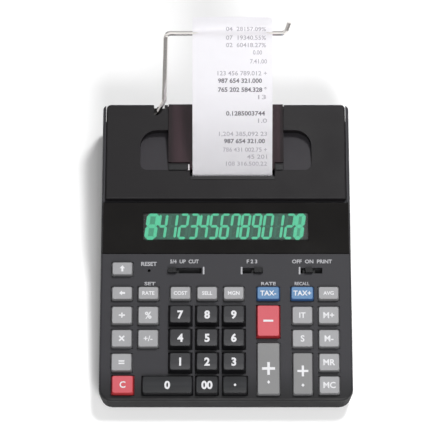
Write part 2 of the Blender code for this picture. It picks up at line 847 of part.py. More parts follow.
def make_upper_case():
    case = add_part("upper_case", loft_mesh("upper_case", [
        upper_ring(split_height - cut_overrun, 0.0), upper_ring(sky_height, 0.0)]),
        deck_plastic, calculator)
    half = base_width
    cheek_end = surface_under(band_rear, cover_tilt_deg, 0.0, profile_end_y)
    ceiling = sky_height + cut_overrun
    front_level = surface_under(deck_front, deck_tilt_deg, 0.0, -cut_overrun)
    sky = [(-cut_overrun, front_level), deck_rear, band_rear, (profile_end_y, cheek_end),
           (profile_end_y, ceiling), (-cut_overrun, ceiling)]
    boolean(case, add_cutter("sky", plate_mesh("sky", sky, -half, half), calculator))
    rim_bevel(case, rim_radius)
    below = box_mesh("below_split", (-half, -cut_overrun, -cut_overrun),
                     (half, profile_end_y, split_height + fit_gap))
    boolean(case, add_cutter("below_split", below, calculator))

    # Cavity: the inner walls, kept below the deck, the band's shelf and the cover's ledge
    cavity = add_cutter("case_cavity", loft_mesh("case_cavity", [
        upper_ring(split_height - cut_overrun, case_wall), upper_ring(sky_height, case_wall)]),
        calculator)
    shelf_drop = window_thickness + fit_gap + case_wall
    ledge_low = band_rear[1] - cover_ledge_drop - case_wall
    ledge_rear = cover_front[0] + cover_ledge_depth
    roof = [(-cut_overrun, surface_under(deck_front, deck_tilt_deg, case_wall, -cut_overrun)),
            line_crossing(deck_front, deck_tilt_deg, case_wall,
                          deck_rear, band_tilt_deg, shelf_drop)]
    level = math.tan(math.radians(band_tilt_deg))
    shelf_start = surface_under(deck_rear, band_tilt_deg, shelf_drop, 0.0)
    roof += [((ledge_low - shelf_start) / level, ledge_low), (ledge_rear, ledge_low),
             (ledge_rear, ceiling), (-cut_overrun, ceiling)]
    boolean(cavity, add_cutter("case_roof", plate_mesh("case_roof", roof, -half, half),
                               calculator))
    boolean(case, cavity)

    # Bay of the printer cover: open above its ledge, behind its ledge and at the rear
    def bay_rings(front, low, high):
        rings = []
        for height in (low, high):
            edge = upper_half_width(height, case_wall)
            rings.append([(x, y, height) for x, y in
                          ((-edge, front), (edge, front), (edge, profile_end_y),
                           (-edge, profile_end_y))])
        return rings

    ledge_top = band_rear[1] - cover_ledge_drop
    over_ledge = loft_mesh("bay_over_ledge", bay_rings(band_rear[0], ledge_top, ceiling))
    boolean(case, add_cutter("bay_over_ledge", over_ledge, calculator))
    behind = loft_mesh("bay_behind_ledge",
                       bay_rings(ledge_rear, split_height - cut_overrun, ceiling))
    boolean(case, add_cutter("bay_behind_ledge", behind, calculator))

    # Shelf of the display window, and the opening over the display
    window_seat = box_mesh("window_seat", (-half, 0.0, -window_thickness - fit_gap),
                           (half, band_length + cut_overrun, cut_overrun))
    boolean(case, add_cutter("window_seat", window_seat, band_frame))
    middle = band_length / 2
    open_half = panel_width / 2 - panel_rim
    open_depth = panel_depth / 2 - panel_rim
    view = box_mesh("display_opening",
                    (-open_half, middle - open_depth, -shelf_drop - cut_overrun / 4),
                    (open_half, middle + open_depth, cut_overrun / 4))
    boolean(case, add_cutter("display_opening", view, band_frame))
    boolean(case, make_key_openings())
    boolean(case, make_switch_slots())

    # Posts that carry the board, and the two front screw bosses
    for i, (x, v) in enumerate(post_places()):
        post = cylinder_mesh("post", post_radius, (x, v, board_top + fit_gap),
                             (x, v, -case_wall / 2), steps=bore_steps)
        join(case, add_cutter(f"board_post_{i}", post, deck_frame))
    boss_foot = front_boss_height + fit_gap
    deck_over_screw = surface_under(deck_front, deck_tilt_deg, case_wall / 2, screw_front_y)
    for i, side in enumerate((-1, 1)):
        x = side * screw_x
        boss = cylinder_mesh("boss", boss_radius, (x, screw_front_y, boss_foot),
                             (x, screw_front_y, deck_over_screw), steps=bore_steps)
        join(case, add_cutter(f"front_boss_{i}", boss, calculator))
        bore = cylinder_mesh("bore", screw_radius + fit_gap,
                             (x, screw_front_y, boss_foot - cut_overrun),
                             (x, screw_front_y, boss_foot + screw_bite + fit_gap),
                             steps=bore_steps)
        boolean(case, add_cutter(f"front_bore_{i}", bore, calculator))


def make_lower_case():
    floor_low = foot_height
    floor_top = floor_low + case_wall
    case = add_part("lower_case", loft_mesh("lower_case", [
        lower_ring(floor_low, rim_radius / 2), lower_ring(floor_low + rim_radius / 2, 0.0),
        lower_ring(split_height, 0.0)]), base_plastic, calculator)
    cavity = loft_mesh("lower_cavity", [lower_ring(floor_top, case_wall),
                                        lower_ring(split_height + cut_overrun, case_wall)])
    boolean(case, add_cutter("lower_cavity", cavity, calculator))
    places = [(-screw_x, screw_front_y, front_boss_height),
              (screw_x, screw_front_y, front_boss_height),
              (-screw_rear_x, screw_rear_y, rear_boss_height),
              (screw_rear_x, screw_rear_y, rear_boss_height)]
    for i, (x, y, top) in enumerate(places):
        boss = cylinder_mesh("boss", boss_radius + case_wall / 2,
                             (x, y, floor_low + case_wall / 2), (x, y, top), steps=bore_steps)
        join(case, add_cutter(f"base_boss_{i}", boss, calculator))
    seat = foot_height + screw_head_height + case_wall / 2
    for i, (x, y, top) in enumerate(places):
        head = cylinder_mesh("counterbore", screw_head_radius + fit_gap,
                             (x, y, floor_low - cut_overrun), (x, y, seat), steps=bore_steps)
        boolean(case, add_cutter(f"counterbore_{i}", head, calculator))
        bore = cylinder_mesh("bore", screw_radius + fit_gap, (x, y, floor_low),
                             (x, y, top + cut_overrun), steps=bore_steps)
        boolean(case, add_cutter(f"base_bore_{i}", bore, calculator))
    for name, y in foot_places():
        recess = loft_mesh(f"{name}_recess", [
            foot_ring(y, fit_gap, floor_low - cut_overrun),
            foot_ring(y, fit_gap, floor_low + foot_recess)])
        boolean(case, add_cutter(f"{name}_recess", recess, calculator))
    collar = cylinder_mesh("jack_hole", jack_collar_radius + fit_gap,
                           (jack_x, body_depth - case_wall - cut_overrun, jack_height),
                           (jack_x, body_depth + cut_overrun, jack_height), axis="Y")
    boolean(case, add_cutter("jack_hole", collar, calculator))


def foot_places():
    return (("rubber_foot_front", foot_front_y), ("rubber_foot_rear", foot_rear_y))


def foot_ring(y, grow, height):
    reach = foot_half_length + foot_width / 2 + grow
    half = foot_width / 2 + grow
    outline = rounded_outline(-reach, reach, y - half, y + half, half, half, corner_steps)
    return [(x, y, height) for x, y in outline]


def make_feet():
    top = foot_height + foot_recess - fit_gap
    ease = foot_recess / 2
    for name, y in foot_places():
        mesh = loft_mesh(name, [foot_ring(y, -ease, 0.0), foot_ring(y, 0.0, ease),
                                foot_ring(y, 0.0, top)])
        add_part(name, mesh, foot_rubber, calculator)


def make_jack():
    slope = math.tan(math.radians(under_draft_deg))
    rear = body_depth - slope * (split_height - jack_height)
    face = rear - slope * jack_body_height / 2 - case_wall - fit_gap
    body = box_mesh("power_jack", (jack_x - jack_width / 2, face - jack_body_depth,
                                   jack_height - jack_body_height / 2 + fit_gap),
                    (jack_x + jack_width / 2, face, jack_height + jack_body_height / 2))
    jack = add_part("power_jack", body, chassis_plastic, calculator)
    collar = cylinder_mesh("jack_collar", jack_collar_radius, (jack_x, face - fit_gap,
                           jack_height), (jack_x, rear - fit_gap, jack_height), axis="Y")
    join(jack, add_cutter("jack_collar", collar, calculator))
    bore = cylinder_mesh("jack_bore", jack_bore_radius,
                         (jack_x, rear - jack_bore_depth, jack_height),
                         (jack_x, rear + cut_overrun, jack_height), axis="Y")
    boolean(jack, add_cutter("jack_bore", bore, calculator))
    pin = cylinder_mesh("jack_pin", jack_pin_radius,
                        (jack_x, rear - jack_bore_depth - fit_gap, jack_height),
                        (jack_x, rear - jack_pin_radius, jack_height), axis="Y", steps=bore_steps)
    join(jack, add_cutter("jack_pin", pin, calculator))


def make_display():
    half_low = upper_half_width(deck_rear[1], window_margin)
    half_high = upper_half_width(band_rear[1], window_margin)
    rings = []
    for height in (-window_thickness, 0.0):
        rings.append([(-half_low, fit_gap, height), (half_low, fit_gap, height),
                      (half_high, band_length - fit_gap, height),
                      (-half_high, band_length - fit_gap, height)])
    window = add_part("display_window", loft_mesh("display_window", rings), window_gloss,
                      band_frame)
    rim_bevel(window, fit_gap)
    middle = band_length / 2
    top = -(window_thickness + fit_gap + case_wall + fit_gap)
    panel = box_mesh("display_panel", (-panel_width / 2, middle - panel_depth / 2,
                                       top - panel_thickness),
                     (panel_width / 2, middle + panel_depth / 2, top))
    glass = add_part("display_panel", panel, display_glass, band_frame)
    raised = box_mesh("display_face", (-panel_width / 2 + panel_rim + fit_gap,
                                       middle - panel_depth / 2 + panel_rim + fit_gap,
                                       top - panel_thickness / 2),
                      (panel_width / 2 - panel_rim - fit_gap,
                       middle + panel_depth / 2 - panel_rim - fit_gap,
                       -window_thickness - fit_gap - fit_gap))
    join(glass, add_cutter("display_face", raised, band_frame))


def make_board():
    centre = (board_front + board_rear) / 2
    mesh = box_mesh("main_board", (-board_half_width, board_front, board_low),
                    (board_half_width, board_rear, board_top))
    board = add_part("main_board", mesh, board_green, deck_frame)
    chip = box_mesh("board_chip", (-board_chip_size / 2, centre - board_chip_size / 2,
                                   board_low - board_chip_height),
                    (board_chip_size / 2, centre + board_chip_size / 2,
                     board_low + board_thickness / 2))
    join(board, add_cutter("board_chip", chip, deck_frame))
    sheet = box_mesh("key_mat", (-board_half_width, board_front, mat_low),
                     (board_half_width, board_rear, mat_top))
    mat = add_part("key_mat", sheet, mat_silicone, deck_frame)
    root = mat_top - mat_thickness / 2
    domes = [cylinder_mesh("dome", dome_base_radius, (row[1], row[2], root),
                           (row[1], row[2], mat_top + dome_height), steps=dome_steps,
                           end_radius=dome_top_radius) for row in key_rows]
    domes.append(cylinder_mesh("dome", dome_base_radius / 2, (reset_x, reset_v, root),
                               (reset_x, reset_v, mat_top + dome_height), steps=dome_steps,
                               end_radius=reset_hole_radius / 2))
    join(mat, add_cutter("key_domes", join_meshes("key_domes", domes), deck_frame))
    holes = [cylinder_mesh("hole", post_radius + fit_gap, (x, v, mat_low - fit_gap / 2),
                           (x, v, mat_top + fit_gap), steps=bore_steps) for x, v in post_places()]
    boolean(mat, add_cutter("mat_holes", join_meshes("mat_holes", holes), deck_frame))


def scoop_cutter(name, side, grow, parent):
    """Finger scoop: a floor that ramps down to the rear, with a round outer corner."""
    inner = lid_half_width + fit_gap - grow
    outer = lid_half_width + fit_gap + scoop_width + grow
    rear = scoop_rear + grow
    radius = scoop_corner_radius + grow
    front = scoop_front - grow
    front_radius = scoop_front_radius + grow
    outline = [(inner, front)]
    outline += arc((outer - front_radius, front + front_radius), front_radius, -90.0, 0.0,
                   corner_steps)
    outline += arc((outer - radius, rear - radius), radius, 0.0, 90.0, corner_steps * 2)
    outline += [(inner, rear)]
    if side < 0:
        outline = [(-x, y) for x, y in reversed(outline)]
    slope = scoop_depth / (scoop_rear - scoop_front)
    floor = [(x, y, -(y - scoop_front) * slope - grow) for x, y in outline]
    lid = [(x, y, cut_overrun) for x, y in outline]
    return add_cutter(name, loft_mesh(name, [floor, lid]), parent)


def make_printer_cover():
    def cover_ring(height, inset, front_inset):
        half = upper_half_width(height, case_wall + fit_gap + inset)
        return [(x, y, height) for x, y in
                rounded_outline(-half, half, cover_front[0] + front_inset,
                                upper_rear(height, inset), rim_radius,
                                inner_radius(rear_corner_radius, inset), corner_steps)]

    low = split_height + fit_gap
    cover = add_part("printer_cover", loft_mesh("printer_cover", [
        cover_ring(low, 0.0, 0.0), cover_ring(sky_height, 0.0, 0.0)]), cover_plastic, calculator)
    half = base_width
    ceiling = sky_height + cut_overrun
    start_y = cover_front[0] - cut_overrun
    sky = [(start_y, surface_under(cover_front, cover_tilt_deg, 0.0, start_y)),
           (profile_end_y, surface_under(cover_front, cover_tilt_deg, 0.0, profile_end_y)),
           (profile_end_y, ceiling), (start_y, ceiling)]
    boolean(cover, add_cutter("cover_sky", plate_mesh("cover_sky", sky, -half, half),
                              calculator))
    rim_bevel(cover, rim_radius * 2 / 3)

    cavity = add_cutter("cover_cavity", loft_mesh("cover_cavity", [
        cover_ring(low - cut_overrun, cover_wall, cover_wall),
        cover_ring(sky_height, cover_wall, cover_wall)]), calculator)
    roof = box_mesh("cover_roof", (-half, -cut_overrun, -cover_wall),
                    (half, body_depth, cut_overrun * 4))
    boolean(cavity, add_cutter("cover_roof", roof, cover_frame))
    for name, side in (("left", -1), ("right", 1)):
        boolean(cavity, scoop_cutter(f"scoop_shell_{name}", side, cover_wall, cover_frame))
    rear_end = barrel_centre + cut_overrun
    rest = lid_half_width + cover_wall
    rim_depth = lid_thickness + cover_wall + fit_gap
    rim_block = box_mesh("lid_rim", (-rest, lid_front, -rim_depth), (rest, rear_end, cut_overrun))
    boolean(cavity, add_cutter("lid_rim", rim_block, cover_frame))
    ear_low = barrel_radius * 3
    for name, side in (("left", -1), ("right", 1)):
        inner = side * (lid_half_width - lid_rest_width)
        outer = side * (lid_half_width + lid_pin_length + fit_gap + cover_wall / 3)
        ear = box_mesh(f"lid_ear_{name}", (min(inner, outer), barrel_centre - barrel_radius * 2,
                                           -ear_low),
                       (max(inner, outer), rear_end, cut_overrun))
        boolean(cavity, add_cutter(f"lid_ear_{name}", ear, cover_frame))
    arm_block = box_mesh("arm_block", (arm_foot_end - cover_wall, notch_front - cover_wall,
                                       -notch_depth - cover_wall),
                         (notch_right + cover_wall / 2, rear_end, cut_overrun))
    boolean(cavity, add_cutter("arm_block", arm_block, cover_frame))
    boolean(cover, cavity)

    # Clearance over the case's ledge, and shorter skirts along the sides
    ledge = box_mesh("ledge_clearance", (-half, start_y, 0.0),
                     (half, cover_front[0] + cover_ledge_depth + fit_gap,
                      band_rear[1] - cover_ledge_drop + fit_gap))
    boolean(cover, add_cutter("ledge_clearance", ledge, calculator))
    skirt = box_mesh("skirt_cut", (-half, start_y, 0.0),
                     (half, body_depth - back_skirt_depth, side_skirt_height))
    boolean(cover, add_cutter("skirt_cut", skirt, calculator))

    # Lid seat: a shallow recess, the well below it and the room of the hinge barrel
    seat_half = lid_half_width + fit_gap
    seat_low = lid_proud - lid_thickness - fit_gap
    tongue_low, tongue_high = slot_sides()
    recess = [(tongue_low, lid_front - fit_gap), (tongue_high, lid_front - fit_gap),
              (tongue_high, lid_front + lid_tongue), (seat_half, lid_front + lid_tongue),
              (seat_half, barrel_centre), (-seat_half, barrel_centre),
              (-seat_half, lid_front + lid_tongue), (tongue_low, lid_front + lid_tongue)]
    boolean(cover, add_cutter("lid_recess", plate_mesh("lid_recess", recess, seat_low,
                                                       cut_overrun, top_view), cover_frame))
    well_half = lid_half_width - lid_rest_width
    barrel_room = barrel_radius + fit_gap
    well = [(-well_half, lid_front + lid_tongue + cover_wall),
            (tongue_low, lid_front + lid_tongue + cover_wall),
            (tongue_low, paper_slot_front), (tongue_high, paper_slot_front),
            (tongue_high, lid_front + lid_tongue + cover_wall),
            (well_half, lid_front + lid_tongue + cover_wall),
            (well_half, barrel_centre - barrel_room - cover_wall),
            (-well_half, barrel_centre - barrel_room - cover_wall)]
    boolean(cover, add_cutter("roll_well", plate_mesh("roll_well", well, -cut_overrun * 2,
                                                      cut_overrun, top_view), cover_frame))
    barrel_height = lid_proud - barrel_radius
    room = [(barrel_centre - barrel_room, cut_overrun)]
    room += arc((barrel_centre, barrel_height), barrel_room, 180.0, 270.0, corner_steps + 2)
    room += [(rear_end + cut_overrun, barrel_height - barrel_room),
             (rear_end + cut_overrun, cut_overrun)]
    room_half = seat_half + fit_gap
    boolean(cover, add_cutter("barrel_room", plate_mesh("barrel_room", room, -room_half,
                                                        room_half), cover_frame))
    pin_end = lid_half_width + lid_pin_length + fit_gap
    pin_bore = cylinder_mesh("lid_pin_bore", lid_pin_radius + fit_gap,
                             (-pin_end, barrel_centre, barrel_height),
                             (pin_end, barrel_centre, barrel_height), axis="X", steps=bore_steps)
    boolean(cover, add_cutter("lid_pin_bore", pin_bore, cover_frame))

    # Finger scoops, seat of the tear bar, notch and pivot of the wire arm
    for name, side in (("left", -1), ("right", 1)):
        boolean(cover, scoop_cutter(f"scoop_{name}", side, 0.0, cover_frame))
    bar_seat = box_mesh("tear_seat", (tongue_low, paper_slot_front - tear_bar_depth - fit_gap,
                                      -tear_bar_thickness - fit_gap),
                        (tongue_high, paper_slot_front + cut_overrun / 4, cut_overrun))
    boolean(cover, add_cutter("tear_seat", bar_seat, cover_frame))
    notch = [(notch_left, notch_front), (notch_right - notch_chamfer, notch_front),
             (notch_right, notch_front + notch_chamfer), (notch_right, rear_end + cut_overrun),
             (notch_left, rear_end + cut_overrun)]
    boolean(cover, add_cutter("arm_notch", plate_mesh("arm_notch", notch, -notch_depth,
                                                      cut_overrun, top_view), cover_frame))
    pivot_bore = cylinder_mesh("arm_bore", arm_wire_radius + fit_gap,
                               (arm_foot_end - fit_gap, arm_pivot_along, -arm_pivot_depth),
                               (notch_left + cover_wall, arm_pivot_along, -arm_pivot_depth),
                               axis="X", steps=bore_steps)
    boolean(cover, add_cutter("arm_bore", pivot_bore, cover_frame))

    # Two posts that take the rear screws
    for i, side in enumerate((-1, 1)):
        x = side * screw_rear_x
        top = surface_under(cover_front, cover_tilt_deg, cover_wall / 2, screw_rear_y)
        foot = rear_boss_height + fit_gap
        post = cylinder_mesh("cover_post", boss_radius, (x, screw_rear_y, foot),
                             (x, screw_rear_y, top), steps=bore_steps)
        join(cover, add_cutter(f"cover_post_{i}", post, calculator))
        bore = cylinder_mesh("cover_bore", screw_radius + fit_gap,
                             (x, screw_rear_y, foot - cut_overrun),
                             (x, screw_rear_y, foot + screw_bite + fit_gap), steps=bore_steps)
        boolean(cover, add_cutter(f"cover_bore_{i}", bore, calculator))


def slot_sides():
    """Left and right ends of the paper slot."""
    reach = paper_width / 2 + paper_slot_side
    return paper_centre - reach, paper_centre + reach


def make_lid():
    """Lid plate with its hinge barrel, drawn about the hinge axis."""
    barrel_height = lid_proud - barrel_radius
    top = lid_proud - barrel_height
    low = top - lid_thickness
    front = lid_front - barrel_centre + fit_gap
    ease = lid_thickness / 3
    lower_deg = 180.0 - math.degrees(math.asin(low / barrel_radius))
    outline = [(front, low), (front, top - ease), (front + ease, top)]
    outline += arc((0.0, 0.0), barrel_radius, 90.0, lower_deg - 360.0, round_steps)
    lid = add_part("paper_lid", plate_mesh("paper_lid", outline, -lid_half_width,
                                           lid_half_width), smoke_plastic, cover_frame,
                   (0.0, barrel_centre, barrel_height))
    tongue_low, tongue_high = slot_sides()
    corner = front + lid_tongue + fit_gap
    for name, left, right in (("left", -lid_half_width - cut_overrun, tongue_low + fit_gap),
                              ("right", tongue_high - fit_gap, lid_half_width + cut_overrun)):
        tool = box_mesh(f"lid_corner_{name}", (left, front - cut_overrun, -cut_overrun),
                        (right, corner, top + cut_overrun))
        boolean(lid, add_cutter(f"lid_corner_{name}", tool, cover_frame,
                                (0.0, barrel_centre, barrel_height)))
    pin = cylinder_mesh("lid_pins", lid_pin_radius,
                        (-lid_half_width - lid_pin_length, 0.0, 0.0),
                        (lid_half_width + lid_pin_length, 0.0, 0.0), axis="X", steps=bore_steps)
    join(lid, add_cutter("lid_pins", pin, cover_frame, (0.0, barrel_centre, barrel_height)))


def make_tear_bar():
    left, right = slot_sides()
    left += fit_gap
    right -= fit_gap
    count = round((right - left) / tear_tooth_pitch)
    pitch = (right - left) / count
    back = paper_slot_front - tear_bar_depth
    outline = [(right, back), (right, paper_slot_front)]
    for i in range(count):
        root = right - pitch * i
        outline.append((root - pitch / 2, paper_slot_front + tear_tooth_height))
        outline.append((root - pitch, paper_slot_front))
    outline.append((left, back))
    mesh = plate_mesh("tear_bar", outline, -tear_bar_thickness, 0.0, top_view)
    add_part("tear_bar", mesh, steel, cover_frame)


def make_paper():
    half = paper_width / 2
    work = bmesh.new()
    row = [work.verts.new((paper_centre - half, y, z)) for y, z in paper_path]
    edges = [work.edges.new(pair) for pair in zip(row, row[1:])]
    swept = bmesh.ops.extrude_edge_only(work, edges=edges)["geom"]
    moved = [item for item in swept if isinstance(item, bmesh.types.BMVert)]
    bmesh.ops.translate(work, vec=(paper_width, 0.0, 0.0), verts=moved)
    strip = add_part("paper_strip", mesh_from(work, "paper_strip"), paper_white, calculator)
    sheet = strip.modifiers.new("sheet", "SOLIDIFY")
    sheet.thickness = paper_thickness
    sheet.offset = 0.0
    profile = [(roll_core_radius, half), (roll_radius, half), (roll_radius, -half),
               (roll_core_radius, -half), (roll_core_radius, half)]
    roll = turned_mesh("paper_roll", profile, across(0.0, 0.0, 0.0), steps=roll_steps)
    add_part("paper_roll", roll, paper_white, calculator, (paper_centre, roll_y, roll_height))


def chassis_sides():
    """Inner faces of the chassis walls, either side of the paper."""
    reach = paper_width / 2 + paper_slot_side - fit_gap
    return paper_centre - reach, paper_centre + reach


def gear_plane():
    """Low and high x of the gear pair, left of the chassis wall."""
    inner = chassis_sides()[0] - chassis_wall - fit_gap * 2
    return inner - gear_width, inner


def pinion_place():
    """Body (y, z) of the motor shaft, one centre distance from the platen."""
    distance = gear_module * (platen_teeth + pinion_teeth) / 2
    return along((platen_y, platen_height), distance, pinion_angle_deg)


def make_chassis():
    left, right = chassis_sides()
    floor_low = foot_height + case_wall + fit_gap
    floor_top = floor_low + chassis_floor
    plate_inner = gear_plane()[0] - fit_gap * 2
    plate_outer = plate_inner - chassis_wall
    base = box_mesh("printer_chassis", (plate_outer, chassis_front, floor_low),
                    (right + chassis_wall, chassis_rear, floor_top))
    chassis = add_part("printer_chassis", base, chassis_plastic, calculator)
    nose = platen_radius * 2
    side = [(chassis_front, floor_low + chassis_floor / 2),
            (chassis_rear, floor_low + chassis_floor / 2),
            (chassis_rear, chassis_top - nose), (chassis_rear - nose, chassis_top),
            (chassis_front + nose / 2, chassis_top), (chassis_front, chassis_top - nose / 2)]
    for i, (low, high) in enumerate(((left - chassis_wall, left), (right, right + chassis_wall))):
        wall = plate_mesh(f"chassis_side_{i}", side, low, high)
        join(chassis, add_cutter(f"chassis_side_{i}", wall, calculator))
    pinion_y, pinion_z = pinion_place()
    reach = motor_radius + chassis_wall
    mount = [(pinion_y - motor_radius, floor_low + chassis_floor / 2),
             (pinion_y + reach, floor_low + chassis_floor / 2),
             (pinion_y + reach, pinion_z)]
    mount += arc((pinion_y, pinion_z), motor_radius, 0.0, 180.0, bore_steps)
    motor_plate = plate_mesh("motor_plate", mount, plate_outer, plate_inner)
    join(chassis, add_cutter("motor_plate", motor_plate, calculator))
    cradle_inner = roll_radius + cradle_gap
    cradle_centre = (roll_y, roll_height + cradle_gap - fit_gap)
    cradle = arc(cradle_centre, cradle_inner, cradle_start_deg, cradle_end_deg, cradle_steps)
    cradle += arc(cradle_centre, cradle_inner + chassis_wall, cradle_end_deg, cradle_start_deg,
                  cradle_steps)
    trough = plate_mesh("roll_cradle", cradle, left - chassis_wall / 2, right + chassis_wall / 2)
    join(chassis, add_cutter("roll_cradle", trough, calculator))
    shaft_bore = cylinder_mesh("platen_bore", platen_shaft_radius + fit_gap,
                               (left - chassis_wall - fit_gap, platen_y, platen_height),
                               (right + chassis_wall + fit_gap, platen_y, platen_height),
                               axis="X")
    boolean(chassis, add_cutter("platen_bore", shaft_bore, calculator))
    boss_bore = cylinder_mesh("boss_bore", motor_boss_radius + fit_gap,
                              (plate_outer - fit_gap, pinion_y, pinion_z),
                              (plate_inner + fit_gap / 2, pinion_y, pinion_z), axis="X")
    boolean(chassis, add_cutter("boss_bore", boss_bore, calculator))


def gear_outline(teeth, turn_deg):
    """Straight-flanked teeth: root, tip, tip, root for each."""
    pitch_radius = gear_module * teeth / 2
    tip = pitch_radius + gear_module * gear_tip_share
    root = pitch_radius - gear_module * gear_root_share
    points = []
    step = 360.0 / teeth
    thick = step * (1.0 - gear_backlash_share) / 2
    for i in range(teeth):
        middle = turn_deg + step * i
        foot = thick * tooth_root_share
        crown = thick * tooth_tip_share
        for offset, radius in ((-foot, root), (-crown, tip), (crown, tip), (foot, root)):
            angle = math.radians(middle + offset)
            points.append((radius * math.cos(angle), radius * math.sin(angle)))
    return points


def make_drive():
    left, right = chassis_sides()
    gear_low, gear_high = gear_plane()
    ends = fit_gap * 2
    sleeve_left = left + ends - paper_centre
    sleeve_right = right - ends - paper_centre
    shaft_left = gear_low - paper_centre
    shaft_right = right + chassis_wall - paper_centre
    profile = [(0.0, shaft_right), (platen_shaft_radius, shaft_right),
               (platen_shaft_radius, sleeve_right), (platen_radius, sleeve_right),
               (platen_radius, sleeve_left), (platen_shaft_radius, sleeve_left),
               (platen_shaft_radius, shaft_left), (0.0, shaft_left)]
    platen = turned_mesh("platen_roller", profile, across(0.0, 0.0, 0.0), steps=fine_steps)
    add_part("platen_roller", platen, platen_rubber, calculator,
             (paper_centre, platen_y, platen_height))
    middle = (gear_low + gear_high) / 2
    pinion_y, pinion_z = pinion_place()
    toward = math.degrees(math.atan2(pinion_z - platen_height, pinion_y - platen_y))
    gear = plate_mesh("platen_gear", gear_outline(platen_teeth, toward), gear_low - middle,
                      gear_high - middle)
    wheel = add_part("platen_gear", gear, gear_plastic, calculator,
                     (middle, platen_y, platen_height))
    bore = cylinder_mesh("gear_bore", platen_shaft_radius + fit_gap / 2,
                         (-gear_width, 0.0, 0.0), (gear_width, 0.0, 0.0), axis="X")
    boolean(wheel, add_cutter("gear_bore", bore, calculator, (middle, platen_y, platen_height)))

    # The pinion's gap faces the platen gear's tooth; its shaft runs into the motor
    half_pitch = 180.0 / pinion_teeth
    pinion = plate_mesh("motor_pinion", gear_outline(pinion_teeth, toward + 180.0 + half_pitch),
                        gear_low - middle, gear_high - middle)
    spur = add_part("motor_pinion", pinion, gear_plastic, calculator,
                    (middle, pinion_y, pinion_z))
    plate_inner = gear_low - fit_gap * 2
    plate_outer = plate_inner - chassis_wall
    face = plate_outer - fit_gap
    shaft_end = face - motor_length / 4
    shaft = cylinder_mesh("pinion_shaft", motor_shaft_radius, (shaft_end - middle, 0.0, 0.0),
                          (0.0, 0.0, 0.0), axis="X", steps=bore_steps)
    join(spur, add_cutter("pinion_shaft", shaft, calculator, (middle, pinion_y, pinion_z)))
    nose = face + motor_boss_length
    bore_radius = motor_shaft_radius + fit_gap
    ease = motor_boss_length / 2
    back = face - motor_length
    profile = [(bore_radius, nose), (motor_boss_radius, nose), (motor_boss_radius, face),
               (motor_radius - ease, face), (motor_radius, face - ease),
               (motor_radius, back + ease), (motor_radius - ease, back), (0.0, back),
               (0.0, shaft_end - fit_gap), (bore_radius, shaft_end - fit_gap),
               (bore_radius, nose)]
    motor = turned_mesh("feed_motor", profile, across(0.0, 0.0, 0.0), steps=fine_steps)
    add_part("feed_motor", motor, aluminium, calculator, (0.0, pinion_y, pinion_z))


def make_print_head():
    """Head bar with cooling fins, its heating face against the paper on the platen."""
    left, right = chassis_sides()
    face = platen_y - platen_radius - paper_thickness - fit_gap * 2
    low = platen_height - head_height / 2
    high = platen_height + head_height / 2
    back = face - head_depth
    web = face - head_base
    pitch = (high - low) / (head_fin_count - 0.5)
    outline = [(face, low), (face, high)]
    for i in range(head_fin_count):
        top = high - pitch * i
        outline += [(back, top), (back, top - pitch / 2)]
        if i < head_fin_count - 1:
            outline += [(web, top - pitch / 2), (web, top - pitch)]
    mesh = plate_mesh("print_head", outline, left + fit_gap, right - fit_gap)
    add_part("print_head", mesh, aluminium, calculator)


def rounded_path(corners, radius, steps):
    """Path through corners, each turned on an arc of the given radius."""
    path = [Vector(corners[0])]
    for before, corner, after in zip(corners, corners[1:], corners[2:]):
        corner = Vector(corner)
        way_in = (corner - Vector(before)).normalized()
        way_out = (Vector(after) - corner).normalized()
        turn = way_in.angle(way_out)
        reach = radius * math.tan(turn / 2)
        start = corner - way_in * reach
        inward = (way_out - way_in * way_in.dot(way_out)).normalized()
        centre = start + inward * radius
        for i in range(steps + 1):
            angle = turn * i / steps
            path.append(centre - inward * radius * math.cos(angle)
                        + way_in * radius * math.sin(angle))
    path.append(Vector(corners[-1]))
    return path


def make_arm():
    """Wire arm, drawn about its pivot: x across, rise along the leaning plane."""
    tip_side = arm_bar_end + (arm_tip_out - arm_bar_end) / 2
    tip_rise = arm_length + arm_tip_rise / 4
    corners = [(arm_foot_end, 0.0), (arm_foot_bend, 0.0), (arm_leg_base, arm_leg_base_rise),
               (arm_leg_top, arm_length), (arm_bar_end, arm_length), (tip_side, tip_rise),
               (arm_tip_out, arm_length + arm_tip_rise)]
    lean = math.radians(arm_lean_deg)
    placed = [(x, rise * math.cos(lean), rise * math.sin(lean)) for x, rise in corners]
    path = rounded_path(placed, arm_bend_radius, arm_bend_steps)
    mesh = tube_mesh("paper_arm", path, arm_wire_radius)
    pivot = cover_point(arm_pivot_along, -arm_pivot_depth)
    add_part("paper_arm", mesh, chrome, calculator, (0.0, *pivot))


def make_all():
    make_upper_case()
    make_lower_case()
    make_feet()
    make_jack()
    make_display()
    make_board()
    make_keys()
    make_switches()
    make_printer_cover()
    make_lid()
    make_tear_bar()
    make_paper()
    make_chassis()
    make_drive()
    make_print_head()
    make_arm()


make_all()
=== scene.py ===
import json
import math
import bmesh
import bpy
from mathutils import Matrix, Vector
from mathutils.bvhtree import BVHTree

